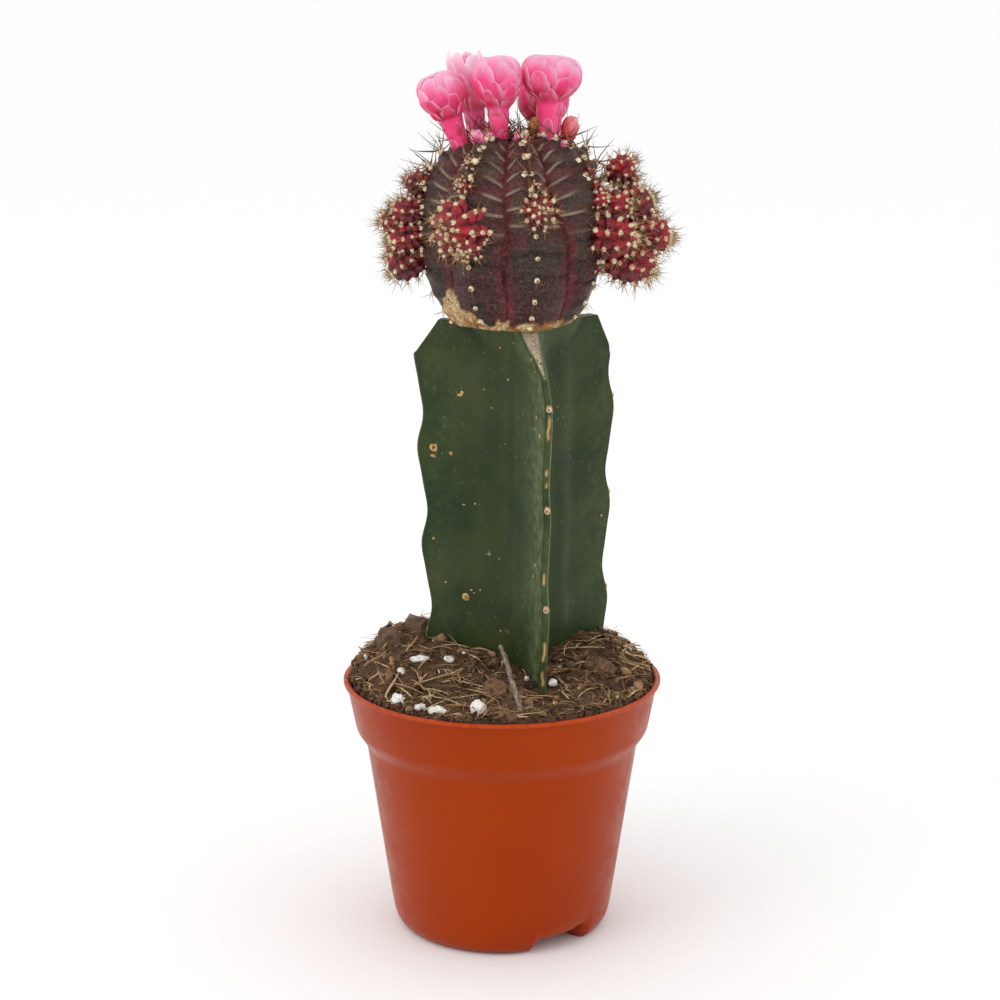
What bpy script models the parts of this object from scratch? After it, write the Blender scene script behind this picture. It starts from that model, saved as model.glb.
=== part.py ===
"""A grafted moon cactus in a nursery pot.

A three-winged green rootstock stands in a peat-filled plastic pot. A ribbed brown-purple scion is
grafted on its flat top, and carries crimson offsets on its areoles and pink flowers round its crown.

Metres, +Z up. The origin is on the pot's axis, in the plane that the pot stands on. An azimuth is
measured in degrees from the front (-Y) towards the right (+X).
"""

import math

import bmesh
import bpy
from mathutils import Vector, noise
from mathutils.bvhtree import BVHTree

MM = 0.001
SEAT_GAP = 0.35 * MM  # clearance between two pieces that touch
WELD = 0.01 * MM  # points nearer than this are one point

# Pot: a moulded shell, all heights from the standing plane
POT_LIP_RADIUS = 42.5 * MM
POT_HEIGHT = 68.9 * MM
POT_WALL = 0.9 * MM
LIP_ROUND = 0.3 * MM
COLLAR_TOP_RADIUS = 41.6 * MM
COLLAR_LOW_RADIUS = 39.2 * MM
COLLAR_LOW_HEIGHT = 55.6 * MM
BODY_TOP_RADIUS = 36.5 * MM
BODY_TOP_HEIGHT = 52.6 * MM
BODY_LOW_RADIUS = 29.15 * MM
FOOT_CORNER = 4.2 * MM
FOOT_RING_INNER = 22.0 * MM
FLOOR_UNDERSIDE = 2.2 * MM
NOTCH_AZIMUTHS = (35.0, 215.0)
NOTCH_SPAN = 38.0
NOTCH_HEIGHT = 3.6 * MM
NOTCH_END_SHARE = 0.3  # the roof comes down to this share at a notch's ends, so that the mould lets go
NOTCH_STEPS = 10
DRAIN_HOLES = 6
DRAIN_AZIMUTH = 47.0  # the first hole, beside the front notch
DRAIN_RADIUS = 2.5 * MM
DRAIN_CIRCLE = 19.0 * MM
TURNED_STEPS = 40

# Soil: fills the pot, level with its lip at the wall and heaped inside, least at the front
SOIL_EDGE_HEIGHT = 67.6 * MM
SOIL_FRONT_HEAP = 4.2 * MM
SOIL_BACK_HEAP = 8.9 * MM
SOIL_STEP_Y = -24.0 * MM  # the heap starts to rise here, going back
SOIL_STEP_RUN = 30.0 * MM
SOIL_HEAP_POWER = 7
SOIL_BUMP = 1.0 * MM
SOIL_CLOD = 6.0 * MM
SOIL_RINGS = 8
SOIL_STEPS = 36

# Rootstock: three wings round a core, tapering towards the soil
STEM_X = 5.4 * MM
STEM_TOP = 164.9 * MM
STEM_FOOT = 52.0 * MM
STEM_CORE = 6.8 * MM
AREOLE_PITCH = 26.5 * MM
WAVE = 0.95 * MM
WAVE_LAG = 0.18  # the edge bulges this share of a pitch below its areole
WAVE_SKEW = 0.22  # and swells faster than it shrinks, going down
# azimuth, length at the top, length share left at the foot, areole height, flat top's length, bevel's run
WINGS = (
    (15.0, 27.0 * MM, 0.82, 143.5 * MM, 13.5 * MM, 1.15),
    (125.0, 30.1 * MM, 0.89, 142.3 * MM, 23.4 * MM, 0.52),
    (255.0, 28.7 * MM, 0.87, 133.1 * MM, 22.6 * MM, 0.71),
)
# how thick a wing is, from its root to its edge: share of its length, half thickness
WING_TAPER = ((0.36, 4.3 * MM), (0.50, 2.7 * MM), (0.72, 1.75 * MM), (0.92, 1.2 * MM), (1.0, 0.5 * MM))
# the loft's heights: even rings along the waves, and closer ones through the bevels
STEM_WAVES_LOW = 68.0 * MM
STEM_WAVES_HIGH = 150.0 * MM
STEM_WAVES_RINGS = 20
STEM_BEVEL_HEIGHTS = (153.6 * MM, 155.7 * MM, 159.0 * MM, 162.2 * MM)

# Scion: a ribbed globe turned about its own axis
SCION_X = 3.0 * MM
SCION_BASE = STEM_TOP + SEAT_GAP
SCION_BASE_RADIUS = 14.8 * MM
SCION_RIBS = 8
SCION_RIB_AZIMUTH = 17.0
SCION_RIB_DEPTH = 0.075
SCION_RIB_BIAS = 0.35  # a rib stands out less than its furrow is deep
SCION_STEPS = 40
# radius, height in millimetres: from the sunken crown over the shoulder and down to the graft
SCION_OUTLINE = (
    (0.0, 209.2), (4.0, 210.4), (8.5, 211.9), (13.0, 211.2), (17.4, 208.4), (20.4, 204.4),
    (22.3, 198.5), (23.0, 191.0), (23.0, 184.5), (22.0, 177.5), (19.8, 171.5), (17.2, 167.4),
)

# Offsets: name, azimuth, height, distance from the scion's axis, radius, half length, axis's rise.
# Lengths are in millimetres and angles in degrees.
OFFSETS = (
    ("front_left", -34.0, 191.6, 24.0, 7.6, 6.6, 5.0),
    ("front", 15.0, 196.3, 22.9, 4.7, 4.6, 12.0),
    ("front_bud", 13.5, 202.0, 20.6, 1.6, 1.6, 30.0),
    ("rib_upper", -42.0, 207.4, 16.6, 2.4, 2.4, 50.0),
    ("rib_lower", -37.0, 203.3, 20.4, 2.4, 2.3, 30.0),
    ("left_middle", -89.0, 191.4, 27.8, 5.5, 6.0, 0.0),
    ("left_top", -92.0, 200.2, 23.8, 4.1, 4.0, 25.0),
    ("left_low", -87.0, 181.2, 27.0, 5.2, 6.0, -35.0),
    ("left_tiny", -88.0, 204.4, 21.2, 1.4, 1.4, 30.0),
    ("right_large", 86.0, 187.2, 28.6, 9.8, 10.4, 2.0),
    ("right_top", 93.0, 202.9, 26.5, 4.2, 6.6, 30.0),
    ("right_inner", 66.0, 199.6, 22.8, 2.7, 2.6, 20.0),
    ("right_small", 64.0, 204.0, 20.8, 1.9, 1.9, 35.0),
    ("right_low", 66.0, 180.2, 23.3, 1.2, 1.2, -10.0),
    ("back_left", -140.0, 192.5, 24.6, 6.4, 6.0, 5.0),
    ("back_high", 168.0, 200.5, 23.0, 4.2, 4.0, 25.0),
    ("back_right", 138.0, 190.0, 25.0, 6.6, 6.2, 0.0),
    ("back_low", -172.0, 183.0, 24.2, 4.6, 4.4, -15.0),
)
OFFSET_LOBES = 8
OFFSET_LOBE_DEPTH = 0.09
SMALL_OFFSET = 2.0  # below this radius an offset is a bud with half as many lobes

# Flowers, in millimetres: name, foot (x, y), bulb's centre (x, y, height), bulb's radius, bulb's length,
# tube's radius
FLOWERS = (
    ("flower_left", (-8.6, -5.0), (-15.3, -7.0, 223.9), 6.2, 12.2, 2.9),
    ("flower_centre", (-0.2, -6.0), (-1.3, -7.0, 227.8), 6.5, 12.8, 2.5),
    ("flower_right", (11.4, -2.5), (12.4, -2.2, 227.9), 7.8, 12.2, 2.9),
    ("flower_back_left", (-5.0, 4.0), (-7.6, 6.0, 226.0), 5.4, 15.5, 2.4),
    ("flower_back_right", (9.5, 6.5), (10.8, 11.4, 220.9), 7.0, 11.6, 2.5),
)
FLOWER_FOOT = 208.5  # inside the crown, which then cuts the foot to fit
FLOWER_STEPS = 12
# Buds, in millimetres: name, centre (x, y, height), radius, length
BUDS = (
    ("bud_left_outer", (-5.8, -9.2, 213.4), 1.35, 3.4),
    ("bud_left_inner", (-3.1, -10.2, 213.1), 1.45, 3.4),
    ("bud_centre", (4.9, -8.6, 212.7), 1.7, 3.8),
    ("bud_right", (15.6, -6.4, 211.0), 1.1, 2.6),
    ("small_flower", (17.4, 0.5, 214.2), 2.0, 5.6),
    ("dried_bud", (8.2, -3.6, 214.6), 1.35, 4.6),
    ("bud_back", (0.6, 9.6, 213.0), 1.6, 3.8),
)

BUD_LEAN = 0.35  # how far a bud leans out from the crown for each unit of rise
BUD_STEPS = 8

# Loose pieces on the soil, in millimetres: name, place (x, y), rise of its centre above the soil,
# half sizes, turn in degrees
GRAINS = (
    ("bark_left", (-30.4, 3.0), 3.0, (3.4, 2.9, 3.6), 20.0),
    ("bark_back", (-23.0, 10.0), 3.2, (3.0, 2.8, 3.9), -25.0),
    ("clod_front", (-1.8, -27.3), 1.3, (3.5, 2.9, 2.6), 15.0),
    ("clod_right", (25.8, -11.0), 0.8, (4.2, 3.6, 2.6), 40.0),
    ("pebble_right", (35.6, -14.4), 0.9, (1.8, 1.6, 1.4), 0.0),
    ("perlite_1", (-21.9, -8.9), 0.6, (2.5, 1.2, 1.1), 90.0),
    ("perlite_2", (-26.6, -12.6), 0.6, (1.2, 0.9, 1.1), 30.0),
    ("perlite_3", (-14.0, -9.0), 0.6, (1.4, 1.0, 1.3), 60.0),
    ("perlite_4", (-27.0, -26.6), 0.9, (2.3, 1.5, 1.6), 35.0),
    ("perlite_5", (-21.0, -31.6), 0.7, (1.6, 1.0, 1.1), 70.0),
    ("perlite_6", (-16.6, -34.0), 0.8, (2.1, 1.3, 1.2), 80.0),
    ("perlite_7", (-6.1, -35.8), 1.0, (1.9, 1.5, 2.2), -40.0),
    ("perlite_8", (13.3, -19.2), 0.8, (1.4, 1.1, 1.3), 0.0),
)
TWIG_POINTS = (
    (4.8, -36.2, 70.6), (3.8, -30.5, 72.8), (2.4, -22.5, 75.4), (0.8, -15.0, 78.2), (-0.3, -10.0, 80.2),
)
TWIG_RADIUS = 0.65 * MM
GRAIN_ROUGHNESS = 0.22


def clear_scene():
    for obj in list(bpy.data.objects):
        bpy.data.objects.remove(obj, do_unlink=True)


def new_collection(name):
    made = bpy.data.collections.new(name)
    bpy.context.scene.collection.children.link(made)
    return made


def new_material(name, colour, roughness):
    made = bpy.data.materials.new(name)
    made.use_nodes = True
    shader = made.node_tree.nodes["Principled BSDF"]
    shader.inputs["Base Color"].default_value = (*colour, 1.0)
    shader.inputs["Roughness"].default_value = roughness
    shader.inputs["Metallic"].default_value = 0.0
    made.diffuse_color = (*colour, 1.0)
    return made


clear_scene()
PARTS = new_collection("potted_moon_cactus")
CUTTERS = new_collection("cutters")

TERRACOTTA = new_material("terracotta_plastic", (0.36, 0.05, 0.012), 0.38)
PEAT = new_material("peat", (0.07, 0.04, 0.022), 0.95)
BARK = new_material("bark", (0.11, 0.075, 0.05), 0.9)
PERLITE = new_material("perlite", (0.8, 0.78, 0.72), 0.85)
GREEN_SKIN = new_material("green_skin", (0.03, 0.07, 0.02), 0.45)
PURPLE_SKIN = new_material("purple_skin", (0.075, 0.04, 0.035), 0.55)
CRIMSON_SKIN = new_material("crimson_skin", (0.3, 0.012, 0.03), 0.45)
PETAL = new_material("petal", (0.9, 0.12, 0.35), 0.4)
DRY_PETAL = new_material("dry_petal", (0.4, 0.22, 0.08), 0.8)


def heading(azimuth):
    """The level unit vector at an azimuth in degrees from the front."""
    angle = math.radians(azimuth)
    return Vector((math.sin(angle), -math.cos(angle), 0.0))


def add_object(name, mesh, material, collection=None):
    """An object in the parts' collection, or a hidden one in another."""
    made = bpy.data.objects.new(name, mesh)
    (collection or PARTS).objects.link(made)
    if material:
        mesh.materials.append(material)
    if collection is CUTTERS:
        made.hide_render = True
        made.display_type = "WIRE"
    return made


def mesh_from_bmesh(name, shape):
    """A mesh of a closed shape, in triangles, turned right side out if its faces point inwards."""
    bmesh.ops.triangulate(shape, faces=shape.faces)
    if shape.calc_volume(signed=True) < 0.0:
        bmesh.ops.reverse_faces(shape, faces=shape.faces)
    shape.normal_update()
    mesh = bpy.data.meshes.new(name)
    shape.to_mesh(mesh)
    shape.free()
    mesh.shade_smooth()
    return mesh


def turned(name, outline, material, steps=TURNED_STEPS, collection=None):
    """A Screw about Z of an outline of (radius, height) that runs down its outer side."""
    mesh = bpy.data.meshes.new(name)
    points = [(radius, 0.0, height) for radius, height in outline]
    edges = [(i, i + 1) for i in range(len(points) - 1)]
    mesh.from_pydata(points, edges, [])
    made = add_object(name, mesh, material, collection)
    screw = made.modifiers.new("turn", "SCREW")
    screw.steps = screw.render_steps = steps
    screw.use_merge_vertices = True
    screw.merge_threshold = WELD
    screw.use_smooth_shade = True
    return made


def applied(made):
    """The object with its modifiers applied, its turned poles welded and its mesh its own."""
    bpy.context.view_layer.update()
    graph = bpy.context.evaluated_depsgraph_get()
    mesh = bpy.data.meshes.new_from_object(made.evaluated_get(graph))
    mesh.name = made.name
    shape = bmesh.new()
    shape.from_mesh(mesh)
    bmesh.ops.remove_doubles(shape, verts=shape.verts, dist=WELD)
    bmesh.ops.triangulate(shape, faces=shape.faces)
    shape.to_mesh(mesh)
    shape.free()
    mesh.shade_smooth()
    made.modifiers.clear()
    made.data = mesh
    return made


def move_vertices(made, rule):
    """Moves each vertex by a rule from its place to its new place."""
    for vertex in made.data.vertices:
        vertex.co = rule(vertex.co)
    made.data.update()
    return made


def subtract(made, tool):
    difference = made.modifiers.new(tool.name, "BOOLEAN")
    difference.operation = "DIFFERENCE"
    difference.solver = "EXACT"
    difference.object = tool


def surface_tree(made):
    """The object's own faces in the world, ready for a test of what they cross."""
    shape = bmesh.new()
    shape.from_mesh(made.data)
    shape.transform(made.matrix_world)
    tree = BVHTree.FromBMesh(shape)
    shape.free()
    return tree


def cut(made, other):
    """Cuts a piece clear of another that it is pressed against, by a hidden copy grown by the gap."""
    name = f"{other.name}_clearance"
    tool = CUTTERS.objects.get(name)
    if tool is None:
        tool = add_object(name, other.data.copy(), None, CUTTERS)
        tool.matrix_world = other.matrix_world.copy()
        grow = tool.modifiers.new("grow", "DISPLACE")
        grow.strength = SEAT_GAP
        grow.mid_level = 0.0
        applied(tool)
    if surface_tree(made).overlap(surface_tree(tool)):
        subtract(made, tool)


# ---------------------------------------------------------------- pot

def arc(centre, radius, start, end, count):
    """Points (radius, height) on an arc between two angles in degrees, both ends in."""
    angles = [math.radians(start + (end - start) * i / (count - 1)) for i in range(count)]
    return [(centre[0] + radius * math.cos(a), centre[1] + radius * math.sin(a)) for a in angles]


def pot_outside():
    """The outer side, down from the lip's edge to the foot ring's inner corner."""
    lip_under = POT_HEIGHT - POT_WALL
    corner_centre = (BODY_LOW_RADIUS - FOOT_CORNER, FOOT_CORNER)
    return [
        (POT_LIP_RADIUS - LIP_ROUND, POT_HEIGHT),
        (POT_LIP_RADIUS, POT_HEIGHT - LIP_ROUND),
        (POT_LIP_RADIUS - 0.1 * MM, lip_under),
        (COLLAR_TOP_RADIUS, lip_under - 0.2 * MM),
        (COLLAR_LOW_RADIUS, COLLAR_LOW_HEIGHT),
        (COLLAR_LOW_RADIUS - 0.5 * MM, COLLAR_LOW_HEIGHT - 1.3 * MM),
        (BODY_TOP_RADIUS + 0.9 * MM, BODY_TOP_HEIGHT + 0.6 * MM),
        (BODY_TOP_RADIUS, BODY_TOP_HEIGHT - 0.6 * MM),
        *arc(corner_centre, FOOT_CORNER, 5.0, -90.0, 6),
        (FOOT_RING_INNER, 0.0),
        (FOOT_RING_INNER - 1.2 * MM, FLOOR_UNDERSIDE),
        (0.0, FLOOR_UNDERSIDE),
    ]


def pot_inside(clearance=0.0):
    """The inner side, from the axis out along the floor and up to the lip, moved in by a clearance."""
    floor = FLOOR_UNDERSIDE + POT_WALL + clearance
    inset = POT_WALL + clearance
    return [
        (0.0, floor),
        (BODY_LOW_RADIUS - FOOT_CORNER, floor),
        (BODY_LOW_RADIUS - inset, FOOT_CORNER + 2.6 * MM + clearance),
        (BODY_TOP_RADIUS - inset, BODY_TOP_HEIGHT + 0.2 * MM),
        (COLLAR_LOW_RADIUS - inset, COLLAR_LOW_HEIGHT + 0.6 * MM),
        (COLLAR_TOP_RADIUS - inset, POT_HEIGHT - POT_WALL - 0.2 * MM),
    ]


def make_pot():
    rim = [(COLLAR_TOP_RADIUS - 0.6 * MM, POT_HEIGHT)]
    pot = turned("pot", pot_inside() + rim + pot_outside(), TERRACOTTA)
    for number, azimuth in enumerate(NOTCH_AZIMUTHS):
        shape = bmesh.new()
        for step in range(NOTCH_STEPS + 1):
            side = heading(azimuth + NOTCH_SPAN * (step / NOTCH_STEPS - 0.5))
            roof = NOTCH_HEIGHT * (NOTCH_END_SHARE if step in (0, NOTCH_STEPS) else 1.0)
            for radius in (FOOT_RING_INNER - 2.5 * MM, BODY_LOW_RADIUS + 4.0 * MM):
                for height in (-1.0 * MM, roof):
                    shape.verts.new(side * radius + Vector((0.0, 0.0, height)))
        bmesh.ops.convex_hull(shape, input=shape.verts)
        loose = [vertex for vertex in shape.verts if not vertex.link_faces]
        bmesh.ops.delete(shape, geom=loose, context="VERTS")
        tool = add_object(f"notch_{number + 1}", mesh_from_bmesh("notch", shape), None, CUTTERS)
        subtract(pot, tool)
    for number in range(DRAIN_HOLES):
        shape = bmesh.new()
        bmesh.ops.create_cone(
            shape, cap_ends=True, segments=12, radius1=DRAIN_RADIUS, radius2=DRAIN_RADIUS, depth=8.0 * MM
        )
        place = heading(DRAIN_AZIMUTH + 360.0 * number / DRAIN_HOLES) * DRAIN_CIRCLE
        bmesh.ops.translate(shape, verts=shape.verts, vec=place + Vector((0.0, 0.0, FLOOR_UNDERSIDE)))
        tool = add_object(f"drain_{number + 1}", mesh_from_bmesh("drain", shape), None, CUTTERS)
        subtract(pot, tool)
    return pot


# ---------------------------------------------------------------- rootstock

def wing_length(wing, height):
    """How far a wing reaches at a height: its taper, its waves at the areoles and its bevelled top."""
    _, length, foot_share, areole, flat, bevel = wing
    down = (STEM_TOP - height) / (STEM_TOP - STEM_FOOT)
    reach = length * (1.0 - (1.0 - foot_share) * down)
    phase = 2.0 * math.pi * ((areole - height) / AREOLE_PITCH - WAVE_LAG)
    reach += WAVE * (math.cos(phase) - WAVE_SKEW * math.sin(2.0 * phase))
    return min(reach, flat + (STEM_TOP - height) * bevel)


def stem_section(height):
    """One closed outline of the stem: for each wing its right flank, its edge and its left flank."""
    points = []
    for number, wing in enumerate(WINGS):
        azimuth = wing[0]
        reach = wing_length(wing, height)
        along = heading(azimuth)
        across = heading(azimuth - 90.0)
        for share, half in WING_TAPER:
            points.append(along * reach * share + across * half)
        for share, half in reversed(WING_TAPER):
            points.append(along * reach * share - across * half)
        following = WINGS[(number + 1) % len(WINGS)][0]
        valley = azimuth + ((following - azimuth) % 360.0) / 2.0
        points.append(heading(valley) * STEM_CORE)
    return [point + Vector((STEM_X, 0.0, height)) for point in points]


def make_rootstock():
    """A loft of its changing section, because the wings wave, taper and end in bevels."""
    pitch = (STEM_WAVES_HIGH - STEM_WAVES_LOW) / (STEM_WAVES_RINGS - 1)
    waves = [STEM_WAVES_LOW + pitch * i for i in range(STEM_WAVES_RINGS)]
    heights = [STEM_FOOT, *waves, *STEM_BEVEL_HEIGHTS, STEM_TOP]
    shape = bmesh.new()
    rings = [[shape.verts.new(point) for point in stem_section(height)] for height in heights]
    count = len(rings[0])
    for lower, upper in zip(rings, rings[1:]):
        for i in range(count):
            j = (i + 1) % count
            shape.faces.new((lower[i], lower[j], upper[j], upper[i]))
    for ring, height in ((rings[0][::-1], heights[0]), (rings[-1], heights[-1])):
        middle = shape.verts.new(Vector((STEM_X, 0.0, height)))
        for i in range(count):
            shape.faces.new((ring[i], ring[(i + 1) % count], middle))
    return add_object("rootstock", mesh_from_bmesh("rootstock", shape), GREEN_SKIN)


# ---------------------------------------------------------------- soil and what lies on it

def soil_height(x, y):
    """The soil's surface: it leaves the wall steeply, and its flat heap is higher behind the front wing."""
    wall = COLLAR_TOP_RADIUS - POT_WALL
    share = min(1.0, max(0.0, (y - SOIL_STEP_Y) / SOIL_STEP_RUN))
    smooth = share * share * (3.0 - 2.0 * share)
    heap = SOIL_FRONT_HEAP + (SOIL_BACK_HEAP - SOIL_FRONT_HEAP) * smooth
    clods = SOIL_BUMP * noise.noise(Vector((x, y, 0.0)) / SOIL_CLOD)
    inside = 1.0 - min(1.0, math.hypot(x, y) / wall) ** SOIL_HEAP_POWER
    return SOIL_EDGE_HEIGHT + inside * (heap + clods)


def make_soil(rootstock):
    wall = COLLAR_TOP_RADIUS - POT_WALL - SEAT_GAP - 0.1 * MM
    side = list(reversed(pot_inside(SEAT_GAP)[:-1]))
    # the rings crowd towards the wall, where the heap is steep
    top = [(wall * (i / SOIL_RINGS) ** 0.7, SOIL_EDGE_HEIGHT) for i in range(SOIL_RINGS + 1)]
    soil = applied(turned("soil", top + side, PEAT, steps=SOIL_STEPS))

    def surface(place):
        if place.z < SOIL_EDGE_HEIGHT - WELD:
            return place
        return Vector((place.x, place.y, soil_height(place.x, place.y)))

    move_vertices(soil, surface)
    cut(soil, rootstock)
    return applied(soil)


def make_grain(name, place, rise, half_sizes, turn, material):
    """A rough lump: a sphere of triangles, stretched, turned and roughened, half sunk in the soil."""
    shape = bmesh.new()
    bmesh.ops.create_icosphere(shape, subdivisions=2, radius=1.0)
    along = heading(turn)
    across = heading(turn + 90.0)
    centre = Vector((place[0], place[1], 0.0)) * MM
    centre.z = soil_height(centre.x, centre.y) + rise * MM
    seed = Vector((place[0], place[1], rise))
    for vertex in shape.verts:
        rough = 1.0 + GRAIN_ROUGHNESS * noise.noise(vertex.co * 1.6 + seed)
        x, y, z = (vertex.co[i] * half_sizes[i] * MM * rough for i in range(3))
        vertex.co = centre + along * x + across * y + Vector((0.0, 0.0, z))
    return add_object(name, mesh_from_bmesh(name, shape), material)


def make_twig():
    curve = bpy.data.curves.new("twig", "CURVE")
    curve.dimensions = "3D"
    curve.bevel_depth = TWIG_RADIUS
    curve.bevel_resolution = 1
    curve.use_fill_caps = True
    spline = curve.splines.new("POLY")
    spline.points.add(len(TWIG_POINTS) - 1)
    for point, place in zip(spline.points, TWIG_POINTS):
        point.co = (place[0] * MM, place[1] * MM, place[2] * MM, 1.0)
    guide = bpy.data.objects.new("twig_guide", curve)
    CUTTERS.objects.link(guide)
    bpy.context.view_layer.update()
    graph = bpy.context.evaluated_depsgraph_get()
    shape = bmesh.new()
    mesh = bpy.data.meshes.new_from_object(guide.evaluated_get(graph))
    shape.from_mesh(mesh)
    bmesh.ops.remove_doubles(shape, verts=shape.verts, dist=WELD)
    bpy.data.objects.remove(guide, do_unlink=True)
    return add_object("twig", mesh_from_bmesh("twig", shape), BARK)


# ---------------------------------------------------------------- scion and its offsets

def make_scion():
    outline = [(radius * MM, height * MM) for radius, height in SCION_OUTLINE]
    outline += [(SCION_BASE_RADIUS, SCION_BASE), (0.0, SCION_BASE)]
    scion = applied(turned("scion", outline, PURPLE_SKIN, steps=SCION_STEPS))
    top = max(height for _, height in outline)

    def ribbed(place):
        angle = math.atan2(place.x, -place.y)
        wave = math.cos(SCION_RIBS * (angle - math.radians(SCION_RIB_AZIMUTH)))
        level = min(1.0, max(0.0, (place.z - SCION_BASE) / (top - SCION_BASE)))
        # the power puts the deepest furrows a little below the middle
        depth = SCION_RIB_DEPTH * math.sin(math.pi * level ** 0.8)
        factor = 1.0 + depth * (wave - SCION_RIB_BIAS)
        return Vector((place.x * factor + SCION_X, place.y * factor, place.z))

    return move_vertices(scion, ribbed)


def make_offset(name, azimuth, height, distance, radius, length, rise):
    """A small lobed globe whose own axis points away from the scion."""
    shape = bmesh.new()
    small = radius < SMALL_OFFSET
    lobes = 4 if small else OFFSET_LOBES
    bmesh.ops.create_uvsphere(shape, u_segments=2 * lobes, v_segments=4 if small else 7, radius=1.0)
    outward = heading(azimuth)
    axis = outward * math.cos(math.radians(rise)) + Vector((0.0, 0.0, math.sin(math.radians(rise))))
    side = heading(azimuth + 90.0)
    upward = axis.cross(side).normalized()
    centre = Vector((SCION_X, 0.0, height * MM)) + outward * distance * MM
    for vertex in shape.verts:
        x, y, z = vertex.co
        lobe = 1.0 + OFFSET_LOBE_DEPTH * math.cos(lobes * math.atan2(y, x)) * (x * x + y * y)
        vertex.co = centre + MM * (side * x * radius * lobe + upward * y * radius * lobe + axis * z * length)
    return add_object(name, mesh_from_bmesh(name, shape), CRIMSON_SKIN)


# ---------------------------------------------------------------- flowers and buds

def place_along(made, foot, tip):
    """Stands a turned piece on its foot, with its own Z towards the tip."""
    made.location = foot
    made.rotation_mode = "QUATERNION"
    made.rotation_quaternion = (tip - foot).to_track_quat("Z", "Y")
    bpy.context.view_layer.update()
    return made


def flower_outline(reach, radius, length, tube):
    """A closed flower from its tip down: bulb, neck, tube and foot. The reach is foot to bulb's centre."""
    half = length / 2.0
    bulb = [
        (radius * math.cos(math.radians(angle)), reach + half * math.sin(math.radians(angle)))
        for angle in (78.0, 55.0, 30.0, 5.0, -20.0, -42.0)
    ]
    return [
        (0.0, reach + half * 0.93), *bulb,
        (tube * 1.2, reach - half * 0.98), (tube, reach * 0.42), (tube * 0.85, 0.0), (0.0, 0.0),
    ]


def make_flower(name, foot, centre, radius, length, tube):
    low = Vector((foot[0], foot[1], FLOWER_FOOT)) * MM
    middle = Vector(centre) * MM
    reach = (middle - low).length
    outline = flower_outline(reach, radius * MM, length * MM, tube * MM)
    return place_along(turned(name, outline, PETAL, steps=FLOWER_STEPS), low, middle)


def make_bud(name, centre, radius, length):
    middle = Vector(centre)
    out = Vector((middle.x - SCION_X / MM, middle.y, 0.0)).normalized()
    axis = (Vector((0.0, 0.0, 1.0)) + out * BUD_LEAN).normalized()
    foot = middle - axis * length
    outline = flower_outline(length * MM, radius * MM, length * MM, radius * 0.6 * MM)
    material = DRY_PETAL if name == "dried_bud" else PETAL
    return place_along(turned(name, outline, material, steps=BUD_STEPS), foot * MM, middle * MM)


# ---------------------------------------------------------------- assembly

def seat_among(pieces):
    """Cuts each piece clear of the earlier ones that it is pressed against."""
    for number, made in enumerate(pieces):
        for other in pieces[:number]:
            cut(made, other)


make_pot()
rootstock = make_rootstock()
soil = make_soil(rootstock)

loose = []
for name, place, rise, half_sizes, turn in GRAINS:
    stuff = PERLITE if name.startswith("perlite") else BARK
    loose.append(make_grain(name, place, rise, half_sizes, turn, stuff))
loose.append(make_twig())
for made in loose:
    cut(made, soil)
    cut(made, rootstock)

scion = make_scion()
offsets = [make_offset("offset_" + row[0], *row[1:]) for row in OFFSETS]
flowers = [applied(make_flower(*row)) for row in FLOWERS]
buds = [applied(make_bud(*row)) for row in BUDS]
for made in offsets + flowers + buds:
    cut(made, scion)
seat_among(offsets)
seat_among(flowers + buds)
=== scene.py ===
# %% [markdown]
# # A potted moon cactus, surface by surface
# A green three-winged stem, the rootstock, stands in a small pot of peat. On its flat cut top grows a
# purple ribbed globe, the scion, which carries red offsets, pink flowers and many fine spines.
#
# Almost every shape here is a formula on a grid: two numbers, such as the angle round the plant and the
# height, give one point. Whole grids are computed at once with numpy. Sculpting could make the same
# plant, but not one that a reader can take apart.

import itertools
import math

import bpy
import numpy as np
from mathutils import Matrix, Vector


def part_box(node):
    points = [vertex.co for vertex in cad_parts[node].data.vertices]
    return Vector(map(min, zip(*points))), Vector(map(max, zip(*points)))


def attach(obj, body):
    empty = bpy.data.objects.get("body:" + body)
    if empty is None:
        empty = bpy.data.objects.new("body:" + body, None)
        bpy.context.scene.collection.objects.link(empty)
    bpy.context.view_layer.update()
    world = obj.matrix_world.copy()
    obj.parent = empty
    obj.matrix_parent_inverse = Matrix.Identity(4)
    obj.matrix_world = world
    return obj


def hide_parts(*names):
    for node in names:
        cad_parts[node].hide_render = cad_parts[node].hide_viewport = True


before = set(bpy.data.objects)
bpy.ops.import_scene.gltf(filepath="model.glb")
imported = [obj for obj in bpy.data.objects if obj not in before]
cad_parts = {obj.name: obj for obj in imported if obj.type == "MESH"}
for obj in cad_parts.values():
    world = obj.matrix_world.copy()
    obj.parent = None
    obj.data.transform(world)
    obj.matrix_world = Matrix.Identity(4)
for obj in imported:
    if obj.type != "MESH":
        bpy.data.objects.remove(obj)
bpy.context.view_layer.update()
MM = 0.001


# %% [markdown]
# ## Helpers for shapes
# An azimuth is counted in degrees from the front (-Y) towards the right (+X). A smooth curve through a
# few chosen points saves long tables: the Catmull-Rom formula needs only each point's neighbours.

# %% Directions, soft steps and smooth curves
def stacked(*coordinates):
    """Arrays that fit together, as the coordinates of points."""
    return np.stack(np.broadcast_arrays(*coordinates), axis=-1)


def unit(vectors, least=0):
    """The same directions with length 1. A tiny least length saves zero vectors from a division by 0."""
    return vectors / (np.linalg.norm(vectors, axis=-1, keepdims=True) + least)


def heading(azimuth):
    """Level unit vectors at azimuths in degrees: sine to the right, minus cosine to the back."""
    angle = np.radians(azimuth)
    return stacked(np.sin(angle), -np.cos(angle), 0)


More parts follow.
